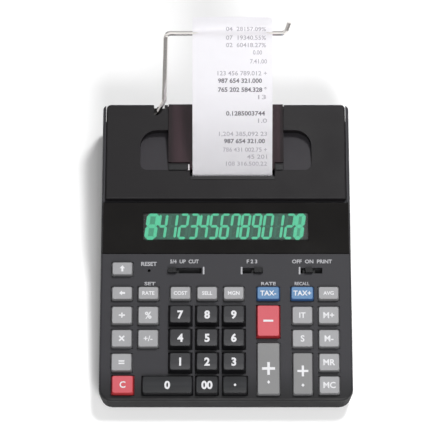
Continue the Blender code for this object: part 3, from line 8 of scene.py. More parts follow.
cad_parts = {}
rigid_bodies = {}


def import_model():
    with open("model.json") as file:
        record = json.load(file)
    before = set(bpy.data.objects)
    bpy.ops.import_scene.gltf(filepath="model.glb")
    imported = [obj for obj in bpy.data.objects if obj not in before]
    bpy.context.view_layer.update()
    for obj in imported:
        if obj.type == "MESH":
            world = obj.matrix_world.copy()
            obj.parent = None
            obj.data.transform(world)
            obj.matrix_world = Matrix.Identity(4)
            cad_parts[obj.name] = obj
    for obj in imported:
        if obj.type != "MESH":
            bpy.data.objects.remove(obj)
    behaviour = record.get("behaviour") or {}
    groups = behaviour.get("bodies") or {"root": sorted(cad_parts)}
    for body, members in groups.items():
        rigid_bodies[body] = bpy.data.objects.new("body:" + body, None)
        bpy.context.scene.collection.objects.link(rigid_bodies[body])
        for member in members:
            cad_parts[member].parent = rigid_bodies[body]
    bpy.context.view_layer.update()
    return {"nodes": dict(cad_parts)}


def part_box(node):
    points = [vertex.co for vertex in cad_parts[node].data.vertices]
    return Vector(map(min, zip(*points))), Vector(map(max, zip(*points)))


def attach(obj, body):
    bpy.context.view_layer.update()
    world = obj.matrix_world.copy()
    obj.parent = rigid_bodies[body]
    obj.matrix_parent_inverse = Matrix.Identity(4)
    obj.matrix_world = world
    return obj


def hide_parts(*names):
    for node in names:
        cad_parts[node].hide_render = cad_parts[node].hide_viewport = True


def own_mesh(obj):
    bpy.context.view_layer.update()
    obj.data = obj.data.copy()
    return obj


for item in list(bpy.data.objects):
    bpy.data.objects.remove(item, do_unlink=True)
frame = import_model()
nodes = frame["nodes"]
housing = "housing"
print("stage: frame loaded")


# Shader arithmetic: a field is one socket of a node tree
class Field:
    def __init__(self, tree, socket=None):
        self.tree = tree
        self.socket = socket

    def plug(self, socket, value):
        if isinstance(value, Field):
            self.tree.links.new(value.socket, socket)
        else:
            socket.default_value = value

    def call(self, kind, inputs=None, output=0, **settings):
        node = self.tree.nodes.new(kind)
        for key, value in settings.items():
            setattr(node, key, value)
        for key, value in (inputs or {}).items():
            self.plug(node.inputs[key], value)
        return Field(self.tree, node.outputs[output])

    def math(self, operation, *others):
        inputs = dict(enumerate((self, *others)))
        return self.call("ShaderNodeMath", inputs, operation=operation)

    def __add__(self, other):
        return self.math("ADD", other)

    def __sub__(self, other):
        return self.math("SUBTRACT", other)

    def __mul__(self, other):
        return self.math("MULTIPLY", other)

    def __radd__(self, other):
        return self.math("ADD", other)

    def __rsub__(self, other):
        return (self * -1.0).math("ADD", other)

    def __rmul__(self, other):
        return self.math("MULTIPLY", other)

    def clip(self, low, high, start=0.0, end=1.0):
        inputs = {"Value": self, "From Min": low, "From Max": high, "To Min": start, "To Max": end}
        return self.call("ShaderNodeMapRange", inputs)

    def mix(self, low, high):
        return self.call("ShaderNodeMix", {0: self, 6: low, 7: high}, 2, data_type="RGBA")

    def noise(self, place, scale, detail=2.0):
        inputs = {"Vector": place, "Scale": scale, "Detail": detail}
        return self.call("ShaderNodeTexNoise", inputs)

    def axis(self, name):
        return self.call("ShaderNodeSeparateXYZ", {"Vector": self}, name)


def tinted(colour, factor):
    return (*(min(1.0, channel * factor) for channel in colour[:3]), 1.0)


def grey(level):
    return (level, level, level, 1.0)


def newMaterial(name, spec):
    material = bpy.data.materials.new(name)
    material.use_nodes = True
    shader = material.node_tree.nodes["Principled BSDF"]
    for socket, value in spec.get("fixed", {}).items():
        shader.inputs[socket].default_value = value
    return material, shader, Field(material.node_tree)


# Moulded plastic, rubber, metal and paper share one recipe: mottling, specks and a fine grain, plus
# optional painted shade on key sides and the deck's front, a painted highlight band, a dark rim and
# stripes
def finish(name, **spec):
    material, shader, field = newMaterial(name, spec)
    place = field.call("ShaderNodeTexCoord", output="Object")
    colour = spec["colour"]
    cloud = field.noise(place, spec.get("cloud", 45.0), 4.0)
    spots = field.noise(place, spec.get("speck", 2600.0), 1.0)
    amount = spec.get("mottle", 0.12)
    base = cloud.mix(tinted(colour, 1.0 - amount), tinted(colour, 1.0 + amount))
    speckAmount = spec.get("specks", 0.10)
    light = spots.mix(tinted((1.0, 1.0, 1.0), 1.0 - speckAmount), (1.0, 1.0, 1.0, 1.0))
    base = field.call("ShaderNodeMix", {0: 1.0, 6: base, 7: light}, 2,
                      data_type="RGBA", blend_type="MULTIPLY")
    # Painted shade: faces turned away from straight up take the darker side colour, standing in for
    # the shade on a key's sides
    if "side" in spec:
        up = field.call("ShaderNodeNewGeometry", output="Normal").axis("Z")
        base = up.clip(*spec.get("turn", (0.75, 0.97))).mix((*spec["side"], 1.0), base)
    # Painted shade: the colour darkens towards the front edge along Y
    if "fade" in spec:
        dark, start, end = spec["fade"]
        base = place.axis("Y").clip(start, end).mix(tinted(colour, dark), base)
    if "border" in spec:
        edge = place.axis("X").math("ABSOLUTE").clip(spec["border"], spec["border"] + 0.0006)
        base = edge.mix(base, tinted(colour, 0.2))
    # Painted highlight: a lighter band across the middle of the dished key top, where its gloss
    # catches the light
    if "band" in spec:
        middle, half, glow = spec["band"]
        offset = (place.axis("Y") - middle).math("ABSOLUTE").clip(0.0, half)
        base = offset.mix(tinted(colour, glow), base)
    if "stripes" in spec:
        scale, low = spec["stripes"]
        lines = field.call("ShaderNodeTexNoise", {"Vector": place.axis("X") * scale,
                                                  "Scale": 1.0, "Detail": 2.0},
                           noise_dimensions="3D")
        base = lines.clip(0.35, 0.65).mix(tinted(colour, low), base)
    shader.inputs["Base Color"].default_value = (*colour, 1.0)
    field.plug(shader.inputs["Base Color"], base)
    rough = spec["rough"]
    spread = spec.get("spread", 0.06)
    field.plug(shader.inputs["Roughness"], cloud.clip(0.3, 0.7, rough - spread, rough + spread))
    grain = field.noise(place, spec.get("grain", 3200.0), 3.0)
    height = {"Height": grain, "Strength": spec.get("bump", 0.25), "Distance": 0.0001}
    field.plug(shader.inputs["Normal"], field.call("ShaderNodeBump", height))
    return material


# Brushed metal: grain drawn out along one axis
def brushed(name, colour, rough, stretch, bump=0.15):
    material, shader, field = newMaterial(name, {"fixed": {"Metallic": 1.0}})
    place = field.call("ShaderNodeTexCoord", output="Object")
    drawn = field.call("ShaderNodeVectorMath", {0: place, 1: stretch}, operation="MULTIPLY")
    lines = field.noise(drawn, 900.0, 3.0)
    cloud = field.noise(place, 60.0, 3.0)
    field.plug(shader.inputs["Base Color"], lines.mix(tinted(colour, 0.82), tinted(colour, 1.08)))
    field.plug(shader.inputs["Roughness"], cloud.clip(0.3, 0.7, rough * 0.8, rough * 1.25))
    height = {"Height": lines, "Strength": bump, "Distance": 0.00005}
    field.plug(shader.inputs["Normal"], field.call("ShaderNodeBump", height))
    return material


# Wound paper: fine rings round the roll's axis on its ends, a faint mottle on the rest
def woundPaper(name, colour, centre, ringPitch):
    material, shader, field = newMaterial(name, {})
    place = field.call("ShaderNodeTexCoord", output="Object")
    away = field.call("ShaderNodeVectorMath", {0: place, 1: (0.0, *centre)}, operation="SUBTRACT")
    across = away.axis("Y")
    above = away.axis("Z")
    radius = (across * across + above * above).math("SQRT")
    ring = (radius * (1.0 / ringPitch)).math("FRACT")
    cloud = field.noise(place, 90.0, 3.0)
    shade = ring.clip(0.0, 0.5).mix(tinted(colour, 0.72), tinted(colour, 1.0))
    tone = cloud.mix(tinted(colour, 0.94), tinted(colour, 1.04))
    side = field.call("ShaderNodeNewGeometry", output="Normal").axis("X").math("ABSOLUTE")
    field.plug(shader.inputs["Base Color"], side.clip(0.5, 0.9).mix(tone, shade))
    field.plug(shader.inputs["Roughness"], cloud.clip(0.3, 0.7, 0.55, 0.75))
    height = {"Height": ring, "Strength": 0.2, "Distance": 0.0001}
    field.plug(shader.inputs["Normal"], field.call("ShaderNodeBump", height))
    return material


# Dark window: see-through only over the display's opening
def windowMaterial(name, spec):
    fixed = {"Specular IOR Level": 0.15}
    material, shader, field = newMaterial(name, {"fixed": fixed})
    place = field.call("ShaderNodeTexCoord", output="Object")
    halfWide, lowY, highY = spec["clear"]
    insideX = place.axis("X").math("ABSOLUTE").math("LESS_THAN", halfWide)
    insideY = place.axis("Y").math("GREATER_THAN", lowY) * place.axis("Y").math("LESS_THAN", highY)
    inside = insideX * insideY
    smear = field.noise(place, 30.0, 4.0)
    field.plug(shader.inputs["Base Color"], smear.mix(tinted(spec["colour"], 0.85),
                                                      tinted(spec["colour"], 1.2)))
    field.plug(shader.inputs["Roughness"], smear.clip(0.3, 0.7, 0.10, 0.20))
    field.plug(shader.inputs["Alpha"], inside.clip(0.0, 1.0, 1.0, spec["veil"]))
    return material


# Segments that give light; also a faint painted glow on unlit segments and the plate behind the digits
def lampMaterial(name, colour, strength, base):
    fixed = {"Emission Strength": strength, "Roughness": 0.4, "Base Color": (*base, 1.0)}
    material, shader, field = newMaterial(name, {"fixed": fixed})
    place = field.call("ShaderNodeTexCoord", output="Object")
    cell = field.noise(place, 700.0, 2.0)
    field.plug(shader.inputs["Emission Color"], cell.mix(tinted(colour, 0.85),
                                                         tinted(colour, 1.15)))
    return material


plastic = {"Specular IOR Level": 0.22}
materials = {
    # Deck: painted shade towards its front edge
    "deck": finish("deck_texture", colour=(0.028, 0.0275, 0.0315), rough=0.50, grain=2600.0, bump=0.35,
                   fade=(0.20, -0.1300, -0.1080), fixed=plastic),
    "cover": finish("cover_satin", colour=(0.0085, 0.0076, 0.0085), rough=0.48, grain=3000.0,
                    bump=0.25, fixed={"Specular IOR Level": 0.15}),
    # Scoop floors: the cover's plastic made lighter, as painted light
    "scoop": finish("scoop_satin", colour=(0.031, 0.029, 0.033), rough=0.50, grain=3000.0,
                    bump=0.25, fixed={"Specular IOR Level": 0.15}),
    # Lower case: near black, partly its own plastic, partly painted shade for the dark front lip
    "base": finish("base_texture", colour=(0.009, 0.009, 0.010), rough=0.60, grain=1800.0, bump=0.5,
                   fixed=plastic),
    # Keys: each side colour is painted shade on the key's steep faces, darker than its top
    "digit": finish("digit_key", colour=(0.037, 0.037, 0.040), rough=0.36, side=(0.007, 0.007, 0.008),
                    bump=0.15, mottle=0.08, fixed=plastic),
    # Zero keys: the lighter middle band is a painted highlight
    "zero": finish("zero_key", colour=(0.014, 0.0145, 0.016), rough=0.34, side=(0.007, 0.007, 0.008),
                   bump=0.15, mottle=0.06, band=(-0.1209, 0.0050, 1.6), fixed=plastic),
    "knob": finish("switch_knob", colour=(0.006, 0.006, 0.007), rough=0.40, bump=0.2, fixed=plastic),
    "grey": finish("grey_key", colour=(0.275, 0.275, 0.284), rough=0.45, side=(0.15, 0.15, 0.155),
                   bump=0.15, mottle=0.05, specks=0.04),
    "operator": finish("operator_key", colour=(0.178, 0.178, 0.180), rough=0.45,
                       side=(0.12, 0.12, 0.125), bump=0.15, mottle=0.05, specks=0.04),
    "red": finish("red_key", colour=(0.50, 0.075, 0.095), rough=0.42, side=(0.34, 0.015, 0.02),
                  bump=0.15, mottle=0.06, specks=0.04),
    "blue": finish("blue_key", colour=(0.085, 0.19, 0.35), rough=0.42, side=(0.03, 0.09, 0.24),
                   bump=0.15, mottle=0.06, specks=0.04),
    "smoke": finish("smoke_lid", colour=(0.031, 0.0155, 0.020), rough=0.16, spread=0.03, bump=0.04,
                    mottle=0.2, specks=0.02, stripes=(70.0, 0.45), border=0.0386,
                    fixed={"Alpha": 0.955, "Specular IOR Level": 0.3}),
    # Tear bar: near black, partly a blackened finish, partly painted shade for the shadowed paper slot
    "steel": finish("tear_steel", colour=(0.014, 0.014, 0.015), rough=0.38, cloud=120.0, bump=0.1,
                    fixed={"Specular IOR Level": 0.2}),
    "chrome": brushed("arm_chrome", (0.90, 0.865, 0.84), 0.07, (0.2, 1.0, 1.0), 0.03),
    "clip": brushed("clip_steel", (0.42, 0.40, 0.41), 0.30, (1.0, 0.1, 1.0)),
    "aluminium": brushed("head_aluminium", (0.62, 0.63, 0.65), 0.32, (0.05, 1.0, 1.0)),
    "zinc": brushed("screw_zinc", (0.55, 0.56, 0.58), 0.30, (1.0, 1.0, 1.0)),
    "platen": finish("platen_rubber", colour=(0.020, 0.020, 0.021), rough=0.72, grain=4000.0),
    "gear": finish("gear_moulded", colour=(0.66, 0.65, 0.59), rough=0.42, bump=0.1, mottle=0.05),
    "chassis": finish("chassis_moulded", colour=(0.018, 0.018, 0.020), rough=0.50, bump=0.3,
                      fixed=plastic),
    "silicone": finish("mat_silicone", colour=(0.035, 0.035, 0.038), rough=0.66, bump=0.2),
    "board": finish("board_mask", colour=(0.02, 0.13, 0.055), rough=0.35, cloud=300.0, mottle=0.35),
    "foot": finish("foot_rubber", colour=(0.028, 0.028, 0.028), rough=0.85, grain=1500.0, bump=0.6),
    "paper": finish("strip_paper", colour=(0.93, 0.92, 0.95), rough=0.62, mottle=0.02, specks=0.03,
                    cloud=25.0, grain=2400.0, bump=0.08),
    "card": finish("roll_card", colour=(0.36, 0.27, 0.18), rough=0.8, mottle=0.15),
    "ink": finish("print_bold", colour=(0.13, 0.12, 0.14), rough=0.7, mottle=0.25, cloud=900.0),
    "faint": finish("print_faint", colour=(0.42, 0.40, 0.44), rough=0.7, mottle=0.18, cloud=900.0),
    "white": finish("legend_white", colour=(0.64, 0.64, 0.66), rough=0.45, mottle=0.05, bump=0.05),
    "pale": finish("legend_pale", colour=(0.66, 0.66, 0.68), rough=0.45, mottle=0.05, bump=0.05),
    "label": finish("label_grey", colour=(0.36, 0.36, 0.38), rough=0.5, mottle=0.08, bump=0.05),
    "glass": finish("display_back", colour=(0.020, 0.024, 0.022), rough=0.30, mottle=0.2,
                    cloud=150.0, bump=0.05),
    "lit": lampMaterial("segment_lit", (0.085, 0.64, 0.355), 1.0, (0.02, 0.06, 0.04)),
    # Unlit segments: their faint glow is painted light
    "ghost": lampMaterial("segment_ghost", (0.016, 0.10, 0.062), 1.0, (0.01, 0.04, 0.03)),
    # Plate behind the digits: a faint painted green glow
    "glow": lampMaterial("display_glow", (0.014, 0.070, 0.046), 1.0, (0.01, 0.03, 0.02)),
    "block": lampMaterial("display_block", (0.045, 0.33, 0.19), 1.0, (0.01, 0.03, 0.02)),
}
print("stage: materials")


# Planes of the body, each as a matrix: x across, y up the slope, z off the surface
profile = {"deckLift": 0.0190, "deckTilt": 6.0, "deckLength": 0.1064, "bandTilt": 22.0,
           "bandLength": 0.0370, "grooveWidth": 0.0022, "coverStep": 0.0016, "coverTilt": 5.0}
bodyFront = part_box("lower_case")[0].y


def plane(y, z, tilt):
    return Matrix.Translation((0.0, y, z)) @ Matrix.Rotation(math.radians(tilt), 4, "X")


deckPlane = plane(bodyFront, profile["deckLift"], profile["deckTilt"])
bandStart = deckPlane @ Vector((0.0, profile["deckLength"], 0.0))
bandPlane = plane(bandStart.y, bandStart.z, profile["bandTilt"])
bandEnd = bandPlane @ Vector((0.0, profile["bandLength"], 0.0))
coverPlane = plane(bandEnd.y + profile["grooveWidth"], bandEnd.z + profile["coverStep"],
                   profile["coverTilt"])

# The camera, as the photograph was taken: long lens, high and straight in front
view = {"across": -0.00489, "along": 0.00327, "height": 0.025, "distance": 2.0, "rise": 69.0,
        "focus": 2776.0, "frameSize": 438.0, "sensor": 36.0, "clipEnd": 20.0}


def aimCamera():
    rise = math.radians(view["rise"])
    target = Vector((view["across"], view["along"], view["height"]))
    back = Vector((0.0, -math.cos(rise), math.sin(rise)))
    camera = bpy.data.objects.new("camera", bpy.data.cameras.new("camera"))
    bpy.context.scene.collection.objects.link(camera)
    camera.location = target + back * view["distance"]
    camera.rotation_euler = (math.pi / 2 - rise, 0.0, 0.0)
    camera.data.sensor_width = view["sensor"]
    camera.data.lens = view["focus"] * view["sensor"] / view["frameSize"]
    camera.data.clip_end = view["clipEnd"]
    bpy.context.scene.camera = camera
    return target, back


def photoHeight(point):
    up = Vector((0.0, viewBack.z, -viewBack.y))
    away = Vector(point) - (viewTarget + viewBack * view["distance"])
    return view["frameSize"] / 2 - view["focus"] * away.dot(up) / -away.dot(viewBack)


viewTarget, viewBack = aimCamera()


def perPixel(point):
    away = viewTarget + viewBack * view["distance"] - Vector(point)
    return away.dot(viewBack) / view["focus"]


def pixelX(x, point):
    return view["across"] + (x - view["frameSize"] / 2) * perPixel(point)


# Pieces
pieceLook = {"sharpAngle": 38.0}


def addPiece(name, mesh, material, body=housing, smooth=False):
    piece = bpy.data.objects.new(name, mesh)
    bpy.context.scene.collection.objects.link(piece)
    mesh.materials.clear()
    mesh.materials.append(material)
    if smooth:
        mesh.shade_smooth()
        mesh.set_sharp_from_angle(angle=math.radians(pieceLook["sharpAngle"]))
    else:
        mesh.shade_flat()
    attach(piece, body)
    return piece


def meshOf(work, name):
    mesh = bpy.data.meshes.new(name)
    work.to_mesh(mesh)
    work.free()
    return mesh


# Flat outlines, filled, as one bmesh
def flatShapes(outlines):
    work = bmesh.new()
    for outline in outlines:
        work.faces.new([work.verts.new((x, y, 0.0)) for x, y in outline])
    return work


def barOutline(width, height, x=0.0, y=0.0):
    return [(x - width / 2, y - height / 2), (x + width / 2, y - height / 2),
            (x + width / 2, y + height / 2), (x - width / 2, y + height / 2)]


arrowUp = [(-0.16, -0.5), (0.16, -0.5), (0.16, 0.02), (0.42, 0.02), (0.0, 0.5), (-0.42, 0.02),
           (-0.16, 0.02)]
glyphs = {
    "minus": [barOutline(1.0, 0.20)],
    "plus": [barOutline(1.0, 0.20), barOutline(0.20, 0.4, 0.0, 0.3), barOutline(0.20, 0.4, 0.0, -0.3)],
    "up": [arrowUp],
    "left": [[(-y, x) for x, y in arrowUp]],
    "diamond": [[(0.0, -0.5), (0.42, 0.0), (0.0, 0.5), (-0.42, 0.0)]],
}


def glyphShape(name, height):
    work = flatShapes(glyphs[name])
    bmesh.ops.scale(work, vec=(height, height, height), verts=work.verts)
    return work


lettering = {"capShare": 0.72, "curveSteps": 3, "probe": 0.02, "topBand": 0.0007}


def textShape(words, height, bold=0.0, align="CENTER"):
    curve = bpy.data.curves.new("words", "FONT")
    curve.body = words
    curve.size = height / lettering["capShare"]
    curve.offset = bold * height
    curve.resolution_u = lettering["curveSteps"]
    holder = bpy.data.objects.new("words", curve)
    bpy.context.scene.collection.objects.link(holder)
    depsgraph = bpy.context.evaluated_depsgraph_get()
    mesh = bpy.data.meshes.new_from_object(holder.evaluated_get(depsgraph))
    bpy.data.objects.remove(holder, do_unlink=True)
    bpy.data.curves.remove(curve)
    work = bmesh.new()
    work.from_mesh(mesh)
    bpy.data.meshes.remove(mesh)
    if not work.verts:
        return work
    xs = [vert.co.x for vert in work.verts]
    anchor = {"CENTER": (min(xs) + max(xs)) / 2, "RIGHT": max(xs), "LEFT": min(xs)}[align]
    for vert in work.verts:
        vert.co.x -= anchor
        vert.co.y -= height / 2
        vert.co.z = 0.0
    return work


def shifted(work, x, y):
    bmesh.ops.translate(work, vec=(x, y, 0.0), verts=work.verts)
    return work


def joined(works):
    whole = bmesh.new()
    for work in works:
        mesh = meshOf(work, "part")
        whole.from_mesh(mesh)
        bpy.data.meshes.remove(mesh)
    return whole


def onPlane(work, matrix, lift, name):
    bmesh.ops.translate(work, vec=(0.0, 0.0, lift), verts=work.verts)
    bmesh.ops.transform(work, matrix=matrix, verts=work.verts)
    return meshOf(work, name)


# Drops a flat shape onto the top of a node, along the plane's normal
def dropOn(work, node, matrix, lift, cuts=()):
    for level in cuts:
        bmesh.ops.bisect_plane(work, geom=work.verts[:] + work.edges[:] + work.faces[:],
                               plane_co=(0.0, level, 0.0), plane_no=(0.0, 1.0, 0.0))
    mesh = nodes[node].data
    tree = BVHTree.FromPolygons([vert.co for vert in mesh.vertices],
                                [tuple(face.vertices) for face in mesh.polygons])
    normal = (matrix.to_3x3() @ Vector((0.0, 0.0, 1.0))).normalized()
    probe = lettering["probe"]
    for vert in work.verts:
        start = matrix @ Vector((vert.co.x, vert.co.y, probe))
        hit = tree.ray_cast(start, -normal)[0]
        vert.co = (hit if hit else start - normal * probe) + normal * lift
    return meshOf(work, f"{node}_legend")


# Where a key's top is, as a plane matrix at its middle
def keyTop(node):
    inverse = deckPlane.inverted()
    points = [inverse @ vert.co for vert in nodes[node].data.vertices]
    high = max(point.z for point in points)
    top = [point for point in points if point.z > high - lettering["topBand"]]
    across = (min(p.x for p in top) + max(p.x for p in top)) / 2
    along = (min(p.y for p in top) + max(p.y for p in top)) / 2
    return deckPlane @ Matrix.Translation((across, along, 0.0))


# Legends: node, parts as (kind, what, height, x, y, bold), in metres on the key's top
legendData = {
    "lift": 0.00004, "digitHeight": 0.0056, "digitBold": 0.055, "functionBold": 0.03,
    "dishShares": (-0.66, -0.33, 0.33, 0.66), "dishDepth": 0.0058,
}
functionLegends = {
    "key_feed": [("glyph", "up", 0.0046)],
    "key_back": [("glyph", "left", 0.0042)],
    "key_rate": [("text", "RATE", 0.0027)],
    "key_cost": [("text", "COST", 0.0027)],
    "key_sell": [("text", "SELL", 0.0027)],
    "key_margin": [("text", "MGN", 0.0027)],
    "key_average": [("text", "AVG", 0.0027)],
    "key_tax_minus": [("text", "TAX-", 0.0036)],
    "key_tax_plus": [("text", "TAX+", 0.0036)],
    "key_divide": [("text", "÷", 0.0062)],
    "key_percent": [("text", "%", 0.0050)],
    "key_multiply": [("text", "×", 0.0064)],
    "key_sign": [("text", "+/-", 0.0040)],
    "key_equals": [("text", "=", 0.0058)],
    "key_items": [("text", "IT", 0.0040)],
    "key_subtotal": [("text", "S", 0.0046)],
    "key_memory_plus": [("text", "M+", 0.0044)],
    "key_memory_minus": [("text", "M-", 0.0044)],
    "key_memory_recall": [("text", "MR", 0.0044)],
    "key_memory_clear": [("text", "MC", 0.0044)],
    "key_minus": [("glyph", "minus", 0.0070)],
    "key_plus": [("glyph", "plus", 0.0092), ("glyph", "diamond", 0.0026, 0.0, -0.0098)],
    "key_total": [("glyph", "plus", 0.0078, 0.0, 0.0018), ("glyph", "diamond", 0.0026, 0.0, -0.0084)],
    "key_clear": [("text", "C", 0.0046)],
}


def makeLegends():
    for digit in "0123456789":
        functionLegends[f"key_{digit}"] = [("text", digit, legendData["digitHeight"])]
    functionLegends["key_00"] = [("text", "00", legendData["digitHeight"])]
    functionLegends["key_point"] = [("text", ".", 0.0066)]
    dished = [f"key_{digit}" for digit in "0123456789"] + ["key_00", "key_point"]
    for node, parts in functionLegends.items():
        matrix = keyTop(node)
        works = []
        for part in parts:
            kind, what, height = part[:3]
            x, y = part[3:5] if len(part) > 3 else (0.0, 0.0)
            bold = legendData["digitBold" if node in dished else "functionBold"]
            shape = glyphShape(what, height) if kind == "glyph" else textShape(what, height, bold)
            works.append(shifted(shape, x, y))
        if node == "key_point":
            ys = [vert.co.y for vert in works[0].verts]
            shifted(works[0], 0.0, -(min(ys) + max(ys)) / 2)
        cuts = [share * legendData["dishDepth"] for share in legendData["dishShares"]]
        mesh = dropOn(joined(works), node, matrix, legendData["lift"],
                      cuts if node in dished else ())
        ink = materials["white" if node in dished else "pale"]
        addPiece(f"legend_{node[4:]}", mesh, ink, f"{node}_cap")


makeLegends()
print("stage: legends")

# Generic marks printed on the deck, placed by their distance up the deck
deckMarks = {"lift": 0.00003, "tickWidth": 0.0011, "tickHeight": 0.0054, "bold": 0.04,
             "tickV": 0.0942, "labelV": 0.1010, "resetV": 0.0992, "keyV": 0.0847}


def makeDeckMarks():
    words = (("rounding_label", "5/4  UP  CUT", 184.5, "labelV", 0.0027, 0.0205),
             ("decimal_label", "F 2 3", 252.0, "labelV", 0.0027, 0.0075),
             ("print_label", "OFF  ON  PRINT", 312.0, "labelV", 0.0027, 0.0285),
             ("reset_label", "RESET", 149.0, "resetV", 0.0029, 0.0112),
             ("rate_label", "SET", 150.0, "keyV", 0.0024, 0.0080),
             ("tax_minus_label", "RATE", 268.5, "keyV", 0.0024, 0.0105),
             ("tax_plus_label", "RECALL", 302.0, "keyV", 0.0024, 0.0105))
    for name, text, pixel, level, height, width in words:
        v = deckMarks[level]
        work = textShape(text, height, deckMarks["bold"])
        reach = max(vert.co.x for vert in work.verts) * 2
        bmesh.ops.scale(work, vec=(width / reach, 1.0, 1.0), verts=work.verts)
        work = shifted(work, pixelX(pixel, deckPlane @ Vector((0.0, v, 0.0))), v)
        addPiece(name, onPlane(work, deckPlane, deckMarks["lift"], name), materials["label"])
    v = deckMarks["tickV"]
    for name, pixel in (("rounding_tick", 203.6), ("decimal_tick", 241.6), ("print_tick", 299.6)):
        x = pixelX(pixel, deckPlane @ Vector((0.0, v, 0.0)))
        outline = barOutline(deckMarks["tickWidth"], deckMarks["tickHeight"], x, v)
        addPiece(name, onPlane(flatShapes([outline]), deckPlane, deckMarks["lift"], name),
                 materials["label"])


makeDeckMarks()
print("stage: deck marks")

# Display: slanted seven-segment digits under the clear part of the window
display = {"face": -0.00250, "glow": -0.00257, "middle": 0.0198, "height": 0.0168, "slant": 0.14,
           "gap": 0.00012, "halfWide": 0.0565, "halfHigh": 0.0094, "step": 0.00003}
segmentCodes = {"0": "abcdef", "1": "bc", "2": "abged", "3": "abgcd", "4": "fgbc", "5": "afgcd",
                "6": "afgedc", "7": "abcf", "8": "abcdefg", "9": "abcdfg", "y": "fbgc", "#": "abcdefg"}


def segmentOutline(start, end, thick):
    start, end = Vector(start), Vector(end)
    way = (end - start).normalized()
    side = Vector((-way.y, way.x)) * thick / 2
    start = start + way * display["gap"]
    end = end - way * display["gap"]
    tip = way * thick / 2
    return [start, start + tip - side, end - tip - side, end, end - tip + side, start + tip + side]


def digitOutlines(segments, x, width, thick):
    half, rise = width / 2, display["height"] / 2
    corners = {"tl": (-half, rise), "tr": (half, rise), "ml": (-half, 0.0), "mr": (half, 0.0),
               "bl": (-half, -rise), "br": (half, -rise)}
    ends = {"a": ("tl", "tr"), "b": ("mr", "tr"), "c": ("br", "mr"), "d": ("bl", "br"),
            "e": ("bl", "ml"), "f": ("ml", "tl"), "g": ("ml", "mr")}
    outlines = []
    for segment in segments:
        first, last = (corners[name] for name in ends[segment])
        shape = slanted(segmentOutline(first, last, thick))
        outlines.append([(x + px, py) for px, py in shape])
    return outlines


def slanted(outline):
    return [(x + y * display["slant"], y) for x, y in outline]


def makeDisplay():
    cells = (("#", 151.8, 0.0064, 0.0026), ("y", 162.4, 0.0048, 0.0019), ("1", 172.6, 0.0048, 0.0018),
             ("2", 183.4, 0.0052, 0.0018), ("3", 193.8, 0.0050, 0.0018), ("4", 203.6, 0.0052, 0.0018),
             ("5", 214.0, 0.0052, 0.0018), ("6", 224.8, 0.0052, 0.0018), ("7", 235.0, 0.0050, 0.0018),
             ("8", 245.2, 0.0052, 0.0018), ("9", 256.4, 0.0052, 0.0018), ("0", 267.8, 0.0056, 0.0018),
             ("1", 279.0, 0.0044, 0.0018), ("2", 289.8, 0.0052, 0.0018), ("#", 299.4, 0.0048, 0.0026))
    centre = bandPlane @ Vector((0.0, display["middle"], 0.0))
    for index, (code, pixel, width, thick) in enumerate(cells):
        x = pixelX(pixel, centre)
        rest = "".join(sorted(set("abcdefg") - set(segmentCodes[code])))
        for name, segments, level, ink in (("digit", segmentCodes[code], display["face"], "lit"),
                                           ("unlit", rest, display["face"], "ghost")):
            if segments:
                work = shifted(flatShapes(digitOutlines(segments, x, width, thick)), 0.0,
                               display["middle"])
                addPiece(f"{name}_{index:02d}", onPlane(work, bandPlane, level, name),
                         materials[ink])
    plates = (("display_glow", 0.0, display["halfWide"] * 2, display["halfHigh"] * 2, "glow", 0.0),
              ("display_block_left", pixelX(151.6, centre), 0.0072, display["height"], "block", 1.0),
              ("display_block_right", pixelX(299.4, centre), 0.0052, display["height"], "block", 1.0))
    for name, x, width, height, ink, rise in plates:
        outline = [(x + px, py) for px, py in slanted(barOutline(width, height))]
        level = display["glow"] + rise * display["step"]
        work = shifted(flatShapes([outline]), 0.0, display["middle"])
        addPiece(name, onPlane(work, bandPlane, level, name), materials[ink])


makeDisplay()
print("stage: display")


# Paper: the strip's spine comes from the middle of its CAD solid
paper = {"half": 0.0285, "middle": 0.0047, "thick": 0.00012, "columns": 56, "rows": 150,
         "curl": 0.0009, "tooth": 0.0009, "edgeBand": 0.001, "merge": 0.00005, "subSteps": 12,
         "held": 0.05, "keep": 0.08, "slotY": 0.0185}


def stripSpine():
    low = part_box("paper_strip")[0].x
    edge = {(round(vert.co.y, 6), round(vert.co.z, 6)) for vert in nodes["paper_strip"].data.vertices
            if vert.co.x < low + paper["edgeBand"]}
    points = [Vector(point) for point in edge]
    middles = []
    for point in points:
        mate = min((other for other in points if other != point),
                   key=lambda other: (other - point).length)
        middle = (point + mate) / 2
        if all((middle - known).length > paper["merge"] for known in middles):
            middles.append(middle)
    path = [max(middles, key=lambda point: point.x)]
    middles.remove(path[0])
    while middles:
        nearest = min(middles, key=lambda point: (point - path[-1]).length)
        middles.remove(nearest)
        path.append(nearest)
    return list(reversed(path))


def smoothPath(points, count):
    fine = []
    ends = [points[0] * 2 - points[1], *points, points[-1] * 2 - points[-2]]
    for before, start, end, after in zip(ends, ends[1:], ends[2:], ends[3:]):
        for step in range(paper["subSteps"]):
            t = step / paper["subSteps"]
            fine.append(((start * 2) + (end - before) * t
                         + (before * 2 - start * 5 + end * 4 - after) * t * t
                         + (start * 3 - before - end * 3 + after) * t ** 3) / 2)
    fine.append(points[-1])
    lengths = [0.0]
    for first, last in zip(fine, fine[1:]):
        lengths.append(lengths[-1] + (last - first).length)
    path, index = [], 0
    for step in range(count + 1):
        goal = lengths[-1] * step / count
        while index < len(fine) - 2 and lengths[index + 1] < goal:
            index += 1
        span = lengths[index + 1] - lengths[index]
        path.append(fine[index].lerp(fine[index + 1], (goal - lengths[index]) / span))
    return path, lengths[-1]


spine, stripLength = smoothPath(stripSpine(), paper["rows"])
print("stage: strip length", round(stripLength, 4))


